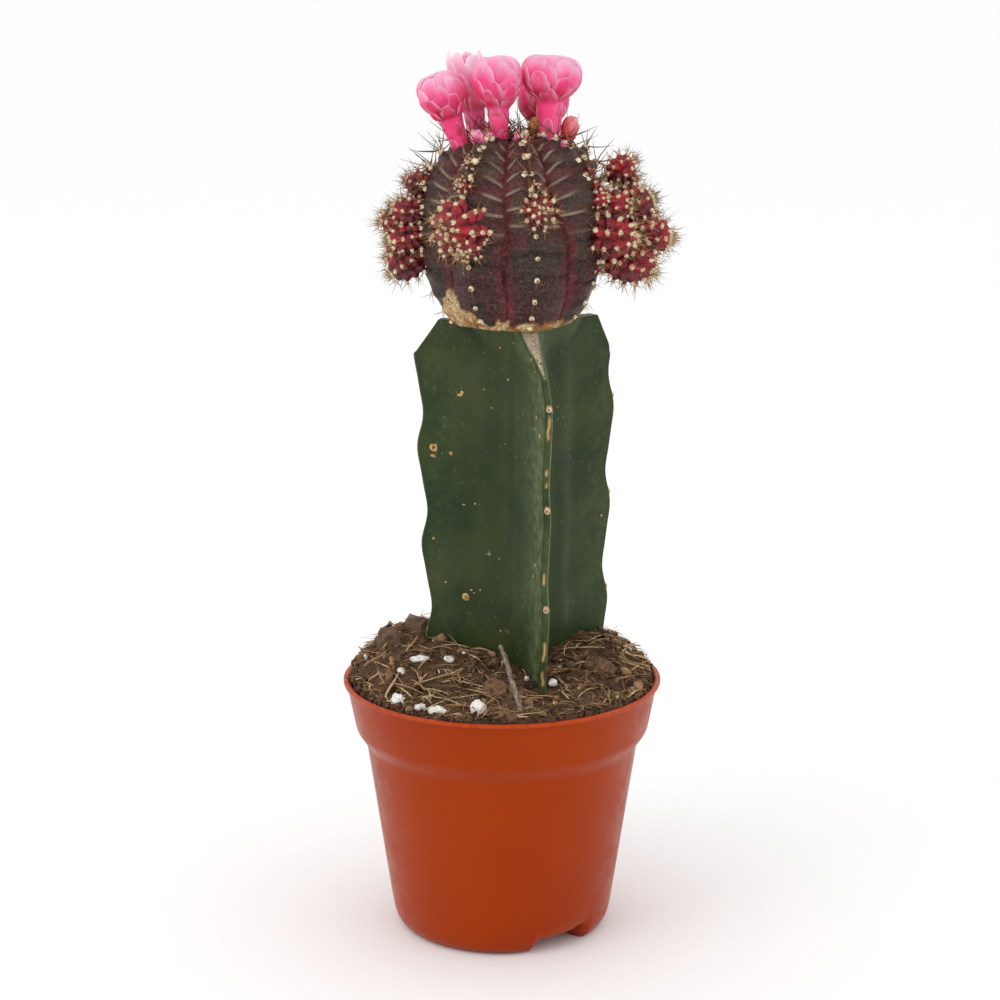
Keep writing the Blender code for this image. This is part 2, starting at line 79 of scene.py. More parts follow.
def ways(turn, lift):
    """Unit vectors at a turn round an axis and a lift towards its tip, in radians."""
    return stacked(np.cos(turn) * np.cos(lift), np.sin(turn) * np.cos(lift), np.sin(lift))


def soft_step(low, high, value):
    """0 below low, 1 above high, and 3t^2 - 2t^3 between them."""
    share = np.clip((value - low) / (high - low), 0, 1)
    return share * share * (3 - 2 * share)


def bell(value, width):
    """A bump of height 1 at zero: e to the minus square of value over width."""
    return np.exp(-(value / width) ** 2)


def smooth_curve(knots, at, closed=False):
    """Catmull-Rom through knots (..., count, d), read at whole and broken knot numbers."""
    knots = np.asarray(knots, float)
    count = knots.shape[-2]
    first = np.floor(at).astype(int)
    t = (at - first)[..., None]
    turn = (lambda i: i % count) if closed else (lambda i: np.clip(i, 0, count - 1))
    a, b, c, d = (knots[..., turn(first + i), :] for i in (-1, 0, 1, 2))
    return b + 0.5 * t * (c - a + t * (2 * a - 5 * b + 4 * c - d + t * (3 * (b - c) + d - a)))


def across(axis):
    """Two unit vectors at right angles to each axis (n, 3) and to each other."""
    helper = np.where(np.abs(axis[..., 2:3]) < 0.9, [0, 0, 1], [1, 0, 0])
    side = unit(np.cross(helper, axis))
    return side, np.cross(axis, side)


def distances(outline):
    """How far along a flat outline each of its points (n, 2) lies."""
    return np.concatenate([[0], np.cumsum(np.hypot(*np.diff(outline, axis=0).T))])


print("a heading of 90 degrees:", heading(90))


# %% [markdown]
# ## Noise
# Nothing that grew is even. Value noise puts a random number at each corner of a grid of cubes and
# blends between them. The numbers are mixed from the corner's place, so every run gives the same.

# %% Smooth noise on any array of points
def corner_value(corner, seed):
    """A number from -1 to 1 for each whole-number corner: its three numbers are mixed by primes."""
    mask = 0xFFFFFFFF
    mixed = (corner[..., 0] * 73856093) ^ (corner[..., 1] * 19349663) ^ (corner[..., 2] * 83492791)
    mixed = (mixed ^ (seed * 668265263)) & mask
    mixed = ((mixed ^ (mixed >> 13)) * 1274126177) & mask
    mixed ^= mixed >> 16
    return (mixed & 0xFFFF) / 32767.5 - 1


def noise(points, size, seed=0, octaves=1):
    """Noise from -1 to 1 with features of a size. Each further octave is half as large and as strong."""
    total, weights = 0, 0
    for octave in range(octaves):
        place = np.asarray(points) / size * 2**octave
        corner = np.floor(place).astype(np.int64)
        share = place - corner
        share = share * share * (3 - 2 * share)
        for offset in itertools.product((0, 1), repeat=3):
            weight = np.prod(np.where(offset, share, 1 - share), axis=-1)
            total += weight * corner_value(corner + np.array(offset), seed + octave) / 2**octave
        weights += 1 / 2**octave
    return total / weights


print("noise at three places:", noise(np.eye(3), 0.7).round(3))


# %% [markdown]
# ## From grids to a mesh
# Every piece is a stack of closed rings: round an axis, round a spine's path, or flat rings along a
# petal. So one function makes every mesh. It joins each ring to the next with quads and closes both ends
# with a middle point, and many shapes can share one mesh. Values that a finish needs, such as how near a
# point is to a furrow, are stored beside the points.

# %% One mesh of ringed shapes
def linked(name, data):
    """An object for the data, in the scene."""
    made = bpy.data.objects.new(name, data)
    bpy.context.scene.collection.objects.link(made)
    return made


def ringed(name, rings, material, values=None, replaced=()):
    """rings is (shapes, rings, points a ring, 3), or one shape's. Values are named arrays that fit them."""
    rings = np.asarray(rings, float)
    rings = rings.reshape(-1, *rings.shape[-3:])
    shapes, rows, columns, _ = rings.shape
    corners = np.concatenate([rings.reshape(-1, 3), rings[:, 0].mean(1), rings[:, -1].mean(1)])
    here = np.arange(shapes * rows * columns).reshape(shapes, rows, columns)
    beside = np.roll(here, -1, axis=2)
    quads = stacked(here[:, :-1], beside[:, :-1], beside[:, 1:], here[:, 1:]).reshape(-1, 4)
    low = shapes * rows * columns + np.arange(shapes)[:, None]
    ends = stacked(beside[:, 0], here[:, 0], low), stacked(here[:, -1], beside[:, -1], low + shapes)
    fans = np.concatenate(ends).reshape(-1, 3)
    sides = np.concatenate([quads[:, :3], quads[:, [0, 2, 3]], fans])
    a, b, c = corners[sides.T]
    if (np.cross(a, b) * c).sum() < 0:  # the volume: faces that look inwards are turned round
        quads, fans = quads[:, ::-1], fans[:, ::-1]
    mesh = bpy.data.meshes.new(name)
    mesh.from_pydata(corners.tolist(), [], quads.tolist() + fans.tolist(), shade_flat=False)
    for key, value in (values or {}).items():
        spread = np.broadcast_to(value, (shapes, rows, columns)).astype(np.float32)
        ends = [spread[:, 0].mean(1), spread[:, -1].mean(1)]
        stored = mesh.attributes.new(key, "FLOAT", "POINT")
        stored.data.foreach_set("value", np.concatenate([spread.ravel(), *ends]))
    mesh.validate()
    mesh.shade_smooth()
    mesh.materials.append(material)
    made = linked(name, mesh)
    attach(made, "root")
    if replaced:
        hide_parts(*replaced)
    print(f"{name}: {len(quads) * 2 + len(fans)} triangles")
    return made


# %% [markdown]
# Thin things (spines, straws, the twig) are rings carried along a path, with a radius that shrinks
# towards the tip. Lumps (wool, crumbs, grains) are balls whose points noise pushes in and out.

# %% Tubes along paths, and lumps
def tubes(paths, radii, sides, flat=1):
    """Rings round paths (n, rows, 3) with radii (n, rows). flat squeezes one of the two ways across."""
    paths = np.asarray(paths, float)
    side, up = across(unit(np.gradient(paths, axis=1), 1e-12))
    angle = 2 * np.pi * np.arange(sides) / sides
    ring = side[:, :, None] * np.cos(angle)[:, None] + up[:, :, None] * np.sin(angle)[:, None] * flat
    return paths[:, :, None] + ring * np.asarray(radii)[..., None, None]


def lumps(centres, half_sizes, axes, rows, columns, rough, grain, seed, octaves=1):
    """Balls at centres (n, 3), stretched by half sizes (n, 3) along their axes (n, 3, 3), and roughened."""
    lift = np.radians(np.linspace(-82, 82, rows))[:, None]
    turn = 2 * np.pi * np.arange(columns) / columns
    ball = ways(turn, lift)[None]
    own = np.arange(len(centres))[:, None, None, None] * 7.31
    ball = ball * (1 + rough * noise(ball + own, grain, seed, octaves)[..., None])
    sized = ball * np.asarray(half_sizes)[:, None, None]
    return np.asarray(centres)[:, None, None] + np.einsum("nrcj,njk->nrck", sized, axes)


def random_axes(rng, count):
    """Random turns, each three unit vectors at right angles."""
    first = unit(rng.normal(size=(count, 3)))
    return np.stack([first, *across(first)], axis=1)


# %% [markdown]
# ## Finishes as recipes
# A finish is a tree of shader nodes. A recipe adds one node at a time, links what feeds it and hands
# back its output. Colours are written as screen values from 0 to 255 and turned into the linear light
# that a renderer adds up.

# %% Recipes
def colour(red, green, blue):
    """Screen values 0 to 255 as linear light: the standard screen curve undone."""
    part = np.array([red, green, blue]) / 255
    linear = np.where(part <= 0.04045, part / 12.92, ((part + 0.055) / 1.055) ** 2.4)
    return (*linear.tolist(), 1)


class Recipe:
    """A node tree and short words for the nodes that it needs."""

    def __init__(self, tree):
        self.tree = tree

    def feed(self, socket, value):
        """Links an output to a socket, or sets the socket's own number or colour."""
        if isinstance(value, bpy.types.NodeSocket):
            self.tree.links.new(value, socket)
        elif value is not None:
            socket.default_value = value

    def node(self, kind, inputs, output=0, **settings):
        """One node with its settings and inputs. Hands back one of its outputs."""
        made = self.tree.nodes.new("ShaderNode" + kind)
        for key, value in settings.items():
            setattr(made, key, value)
        for key, value in inputs.items():
            self.feed(made.inputs[key], value)
        return made.outputs[output]

    def calc(self, operation, a, b=None, c=None):
        """A sum on up to three values."""
        return self.node("Math", {0: a, 1: b, 2: c}, operation=operation)

    def times(self, a, b):
        """a times b: for two masks, where both hold."""
        return self.calc("MULTIPLY", a, b)

    def blend(self, share, a, b):
        """Colour a where share is 0, b where it is 1. Three screen values stand for a plain colour."""
        a, b = (colour(*tone) if isinstance(tone, tuple) else tone for tone in (a, b))
        return self.node("Mix", {0: share, 6: a, 7: b}, 2, data_type="RGBA")

    def scaled(self, value, low, high, to_low=0, to_high=1):
        """low to high becomes to_low to to_high, eased at both ends, and stops there."""
        inputs = dict(enumerate((value, low, high, to_low, to_high)))
        return self.node("MapRange", inputs, interpolation_type="SMOOTHSTEP")

    def noise(self, vector, scale, detail):
        """Blender's own noise, from 0 to 1."""
        return self.node("TexNoise", {"Vector": vector, "Scale": scale, "Detail": detail})


# %% [markdown]
# Three effects come back in most finishes, so each is a node group, built once: mottling (soft patches),
# grain (a fine relief) and flecks (scattered spots). A group only puts out values. The shader stays in
# each material, and a finish keeps the colour reached so far: each new tone is laid over the last where
# a mask lets it, as a painter glazes.

# %% Node groups for mottling, grain and flecks
def new_group(name, output, **inputs):
    """A shader node group with named number inputs (a Vector first) and one named output."""
    made = bpy.data.node_groups.new(name, "ShaderNodeTree")
    made.interface.new_socket("Vector", in_out="INPUT", socket_type="NodeSocketVector")
    for key, value in inputs.items():
        made.interface.new_socket(key, in_out="INPUT", socket_type="NodeSocketFloat").default_value = value
    made.interface.new_socket(output, in_out="OUTPUT", socket_type="NodeSocketFloat")
    given, result = made.nodes.new("NodeGroupInput").outputs, made.nodes.new("NodeGroupOutput").inputs
    return Recipe(made), given, result[output]


def mottling_group():
    """Soft patches: one noise, stretched between two of its levels."""
    group, given, result = new_group("mottling", "Share", Scale=100, Low=0.4, High=0.6)
    patches = group.noise(given["Vector"], given["Scale"], 4)
    group.feed(result, group.scaled(patches, given["Low"], given["High"]))
    return group.tree


def grain_group():
    """A fine noise plus one five times as wide, with a weight of its own."""
    group, given, result = new_group("grain", "Height", Scale=800, Coarse=0.5)
    fine = group.noise(given["Vector"], given["Scale"], 3)
    wide = group.noise(given["Vector"], group.times(given["Scale"], 0.2), 2)
    group.feed(result, group.calc("ADD", fine, group.times(wide, given["Coarse"])))
    return group.tree


def fleck_group():
    """Spots: the hearts of a share of random cells, each with a size of its own."""
    group, given, result = new_group("flecks", "Mask", Scale=400, Size=0.2, Amount=0.3)
    cells = {"Vector": given["Vector"], "Scale": given["Scale"], "Detail": 2}
    away = group.node("TexVoronoi", cells, "Distance")
    chance = group.node("SeparateColor", {0: away.node.outputs["Color"]})
    size = group.times(given["Size"], chance.node.outputs[1])
    heart = group.calc("LESS_THAN", away, size)
    group.feed(result, group.times(heart, group.calc("LESS_THAN", chance, given["Amount"])))
    return group.tree


MOTTLING, GRAIN, FLECKS = mottling_group(), grain_group(), fleck_group()
print("groups:", [group.name for group in (MOTTLING, GRAIN, FLECKS)])


# %% A finish: a material and the colour reached so far
class Finish(Recipe):
    """A material on the Principled shader. Settings name the shader's sockets that stay plain numbers."""

    def __init__(self, name, **settings):
        self.material = bpy.data.materials.new(name)
        self.material.use_nodes = True
        super().__init__(self.material.node_tree)
        self.shader = self.tree.nodes["Principled BSDF"].inputs
        for key, value in settings.items():
            self.shader[key.replace("_", " ")].default_value = value
        self.where = self.node("TexCoord", {}, "Object")
        self.skin = None

    def group(self, group, where=None, **values):
        """One of the three groups, read at a place: the object's own coordinates unless one is given."""
        return self.node("Group", {"Vector": where or self.where, **values}, node_tree=group)

    def mottled(self, scale, low, high, where=None):
        """Soft patches, stretched between two levels of a noise."""
        return self.group(MOTTLING, where, Scale=scale, Low=low, High=high)

    def flecked(self, scale, size, amount, where=None):
        """Spots of up to a size, in an amount (a share) of the cells."""
        return self.group(FLECKS, where, Scale=scale, Size=size, Amount=amount)

    def stored(self, name):
        """A value that ringed() kept with the points."""
        return self.node("Attribute", {}, "Fac", attribute_name=name)

    def position(self, axis):
        """How far along X, Y or Z (0, 1 or 2) a point lies, in metres."""
        return self.node("SeparateXYZ", {0: self.where}, axis)

    def stretched(self, height):
        """The coordinates with heights shrunk, so that a pattern read there runs up and down."""
        return self.node("Mapping", {"Vector": self.where, "Scale": (1, 1, height)})

    def over(self, mask, strength, tone):
        """Lays a tone over the skin where the mask is, at a strength from 0 to 1."""
        mask = mask if strength == 1 else self.times(mask, strength)
        self.skin = self.blend(mask, self.skin, tone)

    def done(self, rough, relief, strength, depth):
        """Gives colour, roughness and relief (metres from black to white) to the shader."""
        self.feed(self.shader["Base Color"], self.skin)
        self.feed(self.shader["Roughness"], rough)
        raised = {"Strength": strength, "Distance": depth, "Height": relief}
        self.feed(self.shader["Normal"], self.node("Bump", raised))
        return self.material


# %% [markdown]
# ## Stage
# The plant stands on a plain pale floor in soft studio light: a white surround, a large lamp high on
# the left and a weaker one on the right. The camera has a long lens, because a close wide one would
# swell the globe.

# %% Camera, light and floor
CAMERA_DISTANCE = 660.5 * MM
CAMERA_PITCH = 13.42  # degrees down
CAMERA_AIM = (-0.5 * MM, 0, 117.3 * MM)
LENS, SENSOR = 90, 36  # mm
FLOOR_SIZE = 30  # metres: wide enough to fill the view


def add_camera():
    """Back from the aim by the distance times the cosine of the pitch, and up by its sine."""
    pitch = math.radians(CAMERA_PITCH)
    data = bpy.data.cameras.new("camera")
    data.lens, data.sensor_width = LENS, SENSOR
    made = linked("camera", data)
    made.rotation_euler = (math.pi / 2 - pitch, 0, 0)
    back, up = CAMERA_DISTANCE * math.cos(pitch), CAMERA_DISTANCE * math.sin(pitch)
    made.location = (CAMERA_AIM[0], -back, CAMERA_AIM[2] + up)
    bpy.context.scene.camera = made


def add_lamp(name, azimuth, height, distance, size, power):
    """A square area lamp at an azimuth, turned to the middle of the plant."""
    data = bpy.data.lights.new(name, "AREA")
    data.shape, data.size, data.energy = "SQUARE", size, power
    made = linked(name, data)
    spot = heading(azimuth) * distance + [0, 0, height]
    back = unit(spot - np.array(CAMERA_AIM))
    side, up = across(back[None])
    made.matrix_world = Matrix([[side[0][i], up[0][i], back[i], spot[i]] for i in range(3)] + [[0, 0, 0, 1]])


def add_surround(strength):
    """White light from all round."""
    world = bpy.data.worlds.new("surround")
    world.use_nodes = True
    light = world.node_tree.nodes["Background"].inputs
    light["Color"].default_value = (1, 1, 1, 1)
    light["Strength"].default_value = strength
    bpy.context.scene.world = world


def add_floor():
    """A board whose paint is almost white, with a faint fine mottling."""
    bpy.ops.mesh.primitive_plane_add(size=FLOOR_SIZE)
    made = bpy.context.object
    made.name = "floor"
    paint = Finish("floor_paint", Roughness=0.9, Specular_IOR_Level=0.2)
    tones = paint.blend(paint.mottled(300, 0.3, 0.7), (253, 253, 253), (254, 254, 254))
    paint.feed(paint.shader["Base Color"], tones)
    made.data.materials.append(paint.material)


add_camera()
add_lamp("key_lamp", -50, 0.75, 0.75, 0.55, 1.5)
add_lamp("fill_lamp", 60, 0.45, 0.9, 0.7, 0.4)
add_surround(1)
add_floor()
bpy.context.scene.view_settings.view_transform = "Standard"
print("camera at", [round(x, 4) for x in bpy.context.scene.camera.location])


# %% [markdown]
# ## The pot
# A nursery pot is injection moulded from thin brown-orange plastic: a stiff collar, a thin lip that
# stands out, a plain tapering wall and a foot ring with two notches, through which water leaves. It is
# round, so it is one outline turned about the axis, from the middle of the inside floor, up the inside,
# over the lip, down the outside and under the foot. Each corner is eased, because a mould has no knife
# edges. The notches are then made by lifting the foot where they lie.

# %% The pot's outline, turned
LIP_RADIUS, _, POT_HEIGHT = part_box("pot")[1]
FOOT_RING_INNER = 22 * MM
RIM = LIP_RADIUS / MM, POT_HEIGHT / MM
POT_CORNERS = np.array([  # radius, height and cut in mm; the wall is 0.9 thick
    (0.05, 3.1, 0), (27.75, 3.1, 4.2), (35.6, 53, 0.6), (38.3, 56.1, 0.6), (40.7, RIM[1] - 0.4, 0.25),
    (41.3, RIM[1], 0.25), (RIM[0], RIM[1] - 0.05, 0.25), (RIM[0] - 0.05, RIM[1] - 0.9, 0.25),
    (41.6, RIM[1] - 1.1, 0.25), (39.2, 55.6, 0.8), (38, 53.7, 0.9), (36.5, 51.7, 1.4), (29.15, 2.6, 4.2),
    (26.55, 0, 2.52), (22, 0, 0.25), (20.8, 2.2, 0.25), (0.05, 2.2, 0),
]) * MM
NOTCHES = (35, 215)  # azimuths of their middles
NOTCH_HALF = 19  # degrees
NOTCH_ENDS = (5, 3.5)  # degrees over which the two ends of a notch rise
NOTCH_LIFT = 3.5 * MM
DRAIN_CIRCLE = 19 * MM
DRAIN_RADIUS = 2.5 * MM
SLOT_HALF = (2.1 * MM, 1.5 * MM)  # half width and height of the slot above a notch
POT_COLUMNS = 180
ARC_POINTS = 4  # at each eased corner


def eased(outline):
    """Each corner becomes a short arc (a quadratic curve) that starts and ends a cut away from it."""
    points = [outline[0][:2]]
    for before, corner, after in zip(outline, outline[1:], outline[2:]):
        at, cut = np.array(corner[:2]), corner[2]
        start, end = (
            at + (np.array(other[:2]) - at) * min(0.45, cut / math.dist(other[:2], at))
            for other in (before, after)
        )
        for t in np.linspace(0, 1, ARC_POINTS):
            points.append(start * (1 - t) ** 2 + at * 2 * t * (1 - t) + end * t * t)
    return np.array([*points, outline[-1][:2]])


def divided(outline, longest):
    """The same outline with points added, so that no stretch is longer than the given length."""
    parts = []
    for a, b in zip(outline, outline[1:]):
        steps = max(1, math.ceil(math.dist(a, b) / longest))
        parts.append(a + (b - a) * np.linspace(0, 1, steps, endpoint=False)[:, None])
    return np.concatenate([*parts, outline[-1:]])


def turned(outline, steps):
    """Rings (radius sin a, -radius cos a, height) for angles a all the way round."""
    turn = heading(np.linspace(0, 360, steps, endpoint=False))
    return outline[:, None, :1] * turn + outline[:, None, 1:] * [0, 0, 1]


def notch_share(azimuth):
    """1 inside a notch and 0 outside. Its ends lean, the one nearer the front more steeply."""
    share = 0
    for middle in NOTCHES:
        away = (azimuth - middle + 180) % 360 - 180
        first = soft_step(-NOTCH_HALF, -NOTCH_HALF + NOTCH_ENDS[0], away)
        share = share + first * soft_step(-NOTCH_HALF, -NOTCH_HALF + NOTCH_ENDS[1], -away)
    return share


def shape_pot():
    """The turned shell, with its foot lifted at the notches and a shallow dent above one end."""
    rings = turned(divided(eased(POT_CORNERS), 2.6 * MM), POT_COLUMNS)
    x, y, z = np.moveaxis(rings, -1, 0)
    radius = np.hypot(x, y)
    azimuth = np.degrees(np.arctan2(x, -y))
    ring = soft_step(FOOT_RING_INNER - 2.5 * MM, FOOT_RING_INNER, radius)
    roof = NOTCH_LIFT * (0.82 + 0.18 * soft_step(20, 50, azimuth % 180))
    lifted = z + notch_share(azimuth) * ring * roof * (1 - soft_step(0, 11 * MM, z))
    dent = bell(azimuth - NOTCHES[0] + NOTCH_HALF + 1, 6) * (1 - soft_step(3 * MM, 19 * MM, z))
    wobble = 0.06 * MM * noise(rings, 22 * MM, seed=3)
    shrink = 1 + (wobble - 0.55 * MM * dent * ring) / np.maximum(radius, 10 * MM)
    return stacked(x * shrink, y * shrink, lifted)


print("outline points:", len(divided(eased(POT_CORNERS), 2.6 * MM)))

# %% [markdown]
# The six drain holes are real holes, and so is the slot through the wall above each notch. A formula
# for a grid with holes would be long, so a Boolean cuts them: each tool is a short round bar, and a
# slot's is pressed flat.

# %% Cut the drain holes
def drain_tools():
    """Closed bars: for each, rings of a circle from below the floor to above it."""
    angle = 2 * np.pi * np.arange(24) / 24
    bars = []
    for number in range(6):
        middle = heading(NOTCHES[0] + 12 + 60 * number) * DRAIN_CIRCLE
        circle = stacked(np.cos(angle), np.sin(angle), 0) * DRAIN_RADIUS
        bars.append([middle + circle + [0, 0, h] for h in (-2 * MM, 7 * MM)])
    for azimuth in (NOTCHES[0] + 11.5, NOTCHES[1] + 11.5):
        out, side = heading(azimuth), heading(azimuth + 90)
        wide, high = SLOT_HALF
        oval = side * np.cos(angle)[:, None] * wide + np.array([0, 0, 1]) * np.sin(angle)[:, None] * high
        bars.append([out * r + oval + [0, 0, 4.1 * MM] for r in (23 * MM, 33 * MM)])
    return np.array(bars)


def cut_drains(pot, tools):
    """Subtracts the tools, one by one in one modifier, and keeps the result as the pot's own mesh."""
    cutter = pot.modifiers.new("drains", "BOOLEAN")
    cutter.operation, cutter.solver, cutter.object = "DIFFERENCE", "EXACT", tools
    bpy.context.view_layer.update()
    cut = bpy.data.meshes.new_from_object(pot.evaluated_get(bpy.context.evaluated_depsgraph_get()))
    pot.modifiers.clear()
    pot.data = cut
    pot.data.shade_smooth()
    bpy.data.objects.remove(tools)
    print("pot after the cuts:", len(cut.polygons), "faces")


# %% [markdown]
# The plastic is orange-brown and half glossy. Close up it is not one colour: the mould left slow
# streaks, handling left fine scuffs, and a few specks of peat stick to it. The lip's top is painted
# paler as a painted highlight, broken by mottling. A fine grain in roughness and relief softens the gloss.

# %% Moulded plastic
def plastic_material():
    """Two close browns, a painted highlight on the lip, specks of dust and scuffs."""
    pot = Finish("moulded_plastic", IOR=1.45, Specular_IOR_Level=0.26, Specular_Tint=colour(255, 196, 140))
    pot.skin = pot.blend(pot.mottled(28, 0.35, 0.7), (156, 52, 6), (150, 48, 9))
    rim = pot.scaled(pot.position(2), POT_HEIGHT - 1.5 * MM, POT_HEIGHT - 0.2 * MM)
    lip_sheen_breakup = pot.calc("MULTIPLY_ADD", pot.mottled(420, 0.35, 0.62), 0.5, 0.5)
    # painted highlight: the top of the lip is lightened, broken by mottling
    pot.over(pot.times(rim, lip_sheen_breakup), 1, (182, 70, 30))
    pot.over(pot.flecked(150, 0.10, 0.05), 0.7, (96, 48, 30))
    pot.over(pot.flecked(90, 0.07, 0.05), 0.5, (214, 150, 120))
    fine = pot.group(GRAIN, Scale=900, Coarse=1.5)
    return pot.done(pot.scaled(fine, 0.9, 1.6, 0.30, 0.44), fine, 0.10, 0.1 * MM)


POT = ringed("pot_shell", shape_pot(), plastic_material(), replaced=["pot"])
TOOLS = ringed("drain_tools", drain_tools(), POT.data.materials[0])
cut_drains(POT, TOOLS)


# %% [markdown]
# ## The rootstock
# The stem is a piece of a climbing cactus with three wings. Its section, seen from above, is a star with
# three thin arms. Each wing waves out and in a little, once for each areole (the woolly point where
# spines grow), and shortens at the top where a knife bevelled it. So the shape is a section whose arms
# change length with height.
#
# The section is written as a few knots: out along one flank of each wing, back along the other, and one
# in the valley. Flank thickness depends on the distance from the axis, not on the cut, so that the
# bevel's scar is as wide as the wing is there: broad at the top, a point below.

# %% The stem's changing section
STEM_FOOT, STEM_TOP = (corner.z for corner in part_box("rootstock"))
STEM_X = 5.4 * MM
STEM_AXIS = np.array([STEM_X, 0, 0])
STEM_CORE = 6.8 * MM
PITCH = 26.5 * MM  # from areole to areole
WAVE = 0.95 * MM
WINGS = (  # azimuth, length, its share left at the foot, height of an areole, reach at the top, bevel
    (14.2, 27 * MM, 0.82, 146.6 * MM, 13.5 * MM, 1.15),
    (125, 30.1 * MM, 0.89, 142.3 * MM, 23.4 * MM, 0.52),
    (255, 28.7 * MM, 0.87, 133.1 * MM, 22.6 * MM, 0.71),
)
THICKNESS = ((0.36, 0.5, 0.72, 0.92, 1), (4.3 * MM, 2.7 * MM, 1.75 * MM, 1.25 * MM, 0.7 * MM))
FLANK_KNOTS = (0.36, 0.5, 0.72, 0.88, 0.96, 1)  # shares of the reach
SCAR_FOOT = 153 * MM  # the front bevel's scar starts here as a point
TOP_LEAN = 2.3 * MM  # how far the front wing's edge leans aside at the top
CORNER_BACK = 0.9 * MM  # the edge is a narrow face, and one of its corners stands further back
STEPS_BETWEEN = (3, 4, 5, 4, 4, 8, 4, 4, 5, 4, 3, 4, 4)  # columns between knots, closest at the edge


def wing_reach(wing, height):
    """How far a wing grew (its length, tapering down, plus its waves), and where the bevel cut it."""
    _, length, foot_share, areole, flat, bevel = wing
    down = (STEM_TOP - height) / (STEM_TOP - STEM_FOOT)
    phase = 2 * np.pi * ((areole - height) / PITCH - 0.18)
    grown = length * (1 - (1 - foot_share) * down) + WAVE * (np.cos(phase) - 0.22 * np.sin(2 * phase))
    return grown, np.minimum(grown, flat + (STEM_TOP - height) * bevel)


def stem_knots(height):
    """Knots (rows, 39, 3) of the section at each height, going round by azimuth."""
    knots = []
    for number, wing in enumerate(WINGS):
        grown, reach = wing_reach(wing, height)
        whole = soft_step(0, 2 * MM, 2 * MM - (grown - reach))
        for side in (-1, 1):
            aside = heading(wing[0] + 90) * side
            flank = []
            for share in FLANK_KNOTS:
                half = np.interp(reach / grown * share, *THICKNESS)
                back = CORNER_BACK * whole * (side < 0) * (share == 1)
                flank.append(heading(wing[0]) * (reach * share - back)[:, None] + aside * half[:, None])
            knots += flank[:: int(-side)]
        if number == 0:
            lean = TOP_LEAN * soft_step(147 * MM, 166 * MM, height)
            knots = [knot + heading(wing[0] - 90) * (lean * share**2)[:, None] for knot, share in
                     zip(knots, (FLANK_KNOTS + FLANK_KNOTS[::-1]))]
        turn = (WINGS[(number + 1) % 3][0] - wing[0]) % 360
        knots.append(np.broadcast_to(heading(wing[0] + turn / 2) * STEM_CORE, knots[0].shape))
    ring = np.stack(knots, axis=1) + STEM_AXIS
    ring[..., 2] = height[:, None]
    return ring


def knot_places():
    """Where the columns lie, in broken knot numbers."""
    counts = STEPS_BETWEEN * 3
    return np.concatenate([knot + np.arange(count) / count for knot, count in enumerate(counts)])


KNOTS_A_WING = 2 * len(FLANK_KNOTS) + 1
EDGE_KNOT = len(FLANK_KNOTS) - 0.5  # the middle of a wing's narrow edge face, in knot numbers
print("knots:", stem_knots(np.array([0.1])).shape, "columns:", len(knot_places()))

# %% [markdown]
# A smooth curve would round the bevel's crisp corners off, so there the columns follow straight lines
# from knot to knot instead. The skin is then pushed in and out a little along its own normal: slow
# swellings, fine vertical ripples, and a shallow crease below each shoulder. Along the way the script
# keeps six values for the finish: how near a point is to a wing's edge, the pale corner line, the
# bevel's scar, the strips of cork on the front edge, the crease and the paler neck above it.

# %% Shape the stem
CORK_STRIPS = ((141.8, 3.4, 0.85), (129.9, 0.8, 0.9), (126.6, 0.7, 0.8), (101.3, 1.6, 0.9), (82, 2.9, 1),
               (74.5, 2.2, 1))  # height and half length in mm, and strength


def straight_curve(knots, at):
    """The same reading as smooth_curve, along straight lines."""
    first = np.floor(at).astype(int)
    share = (at - first)[:, None]
    count = knots.shape[-2]
    return knots[:, first % count] * (1 - share) + knots[:, (first + 1) % count] * share


def outward(ring):
    """Level normals of rings that go round by azimuth: across the way from neighbour to neighbour."""
    along = np.roll(ring, -1, axis=-2) - np.roll(ring, 1, axis=-2)
    return unit(stacked(along[..., 1], -along[..., 0], 0), 1e-12)


def stem_surface(height):
    """Rings at the heights, and how strongly each point belongs to a bevel's scar."""
    knots, at = stem_knots(height), knot_places()
    smooth, straight = smooth_curve(knots, at, closed=True), straight_curve(knots, at)
    scar = np.zeros(smooth.shape[:2])
    for number, wing in enumerate(WINGS):
        grown, reach = wing_reach(wing, height)
        cut = soft_step(0.1 * MM, 0.5 * MM, grown - reach)[:, None]
        from_edge = np.abs(at - number * KNOTS_A_WING - EDGE_KNOT)
        near = soft_step(-2.5, -1.2, -from_edge)
        smooth = smooth + (straight - smooth) * (cut * near)[..., None]
        scar += cut * (from_edge < 0.56)
    return smooth, scar


def cork_strips(ring, height, position):
    """Worn strips on the front edge: a soft step along each, a bell across, both made ragged by noise."""
    strips = np.zeros_like(ring[..., 0])
    for middle, half, strength in CORK_STRIPS:
        along = soft_step(-half, -half * 0.75, -np.abs(height / MM - middle + 0.3 * noise(ring, 1.1 * MM)))
        wide = bell(position - 5.4 + 0.12 * noise(ring * [0, 0, 1], 1.6 * MM, seed=4), 0.17)
        strips = np.maximum(strips, strength * along * wide)
    return strips


def shoulder_creases(wing, height, position):
    """The crease that runs down and in from the shoulders of two wings, and the pale neck above it."""
    down = (STEM_TOP - height) / MM
    left = np.where(wing == 2, position - 9.05 - 0.37 * down, -9)
    right = np.where(wing == 1, 2.3 - 0.23 * down - position, -9)
    crease = np.maximum(bell(left, 0.2), 0.6 * bell(right, 0.2)) * (1 - soft_step(3, 6.5, down))
    neck = np.maximum(soft_step(-0.1, 0.3, left), soft_step(-0.1, 0.3, right))
    return crease, np.maximum(neck, wing == 0) * (1 - soft_step(2, 9, down))


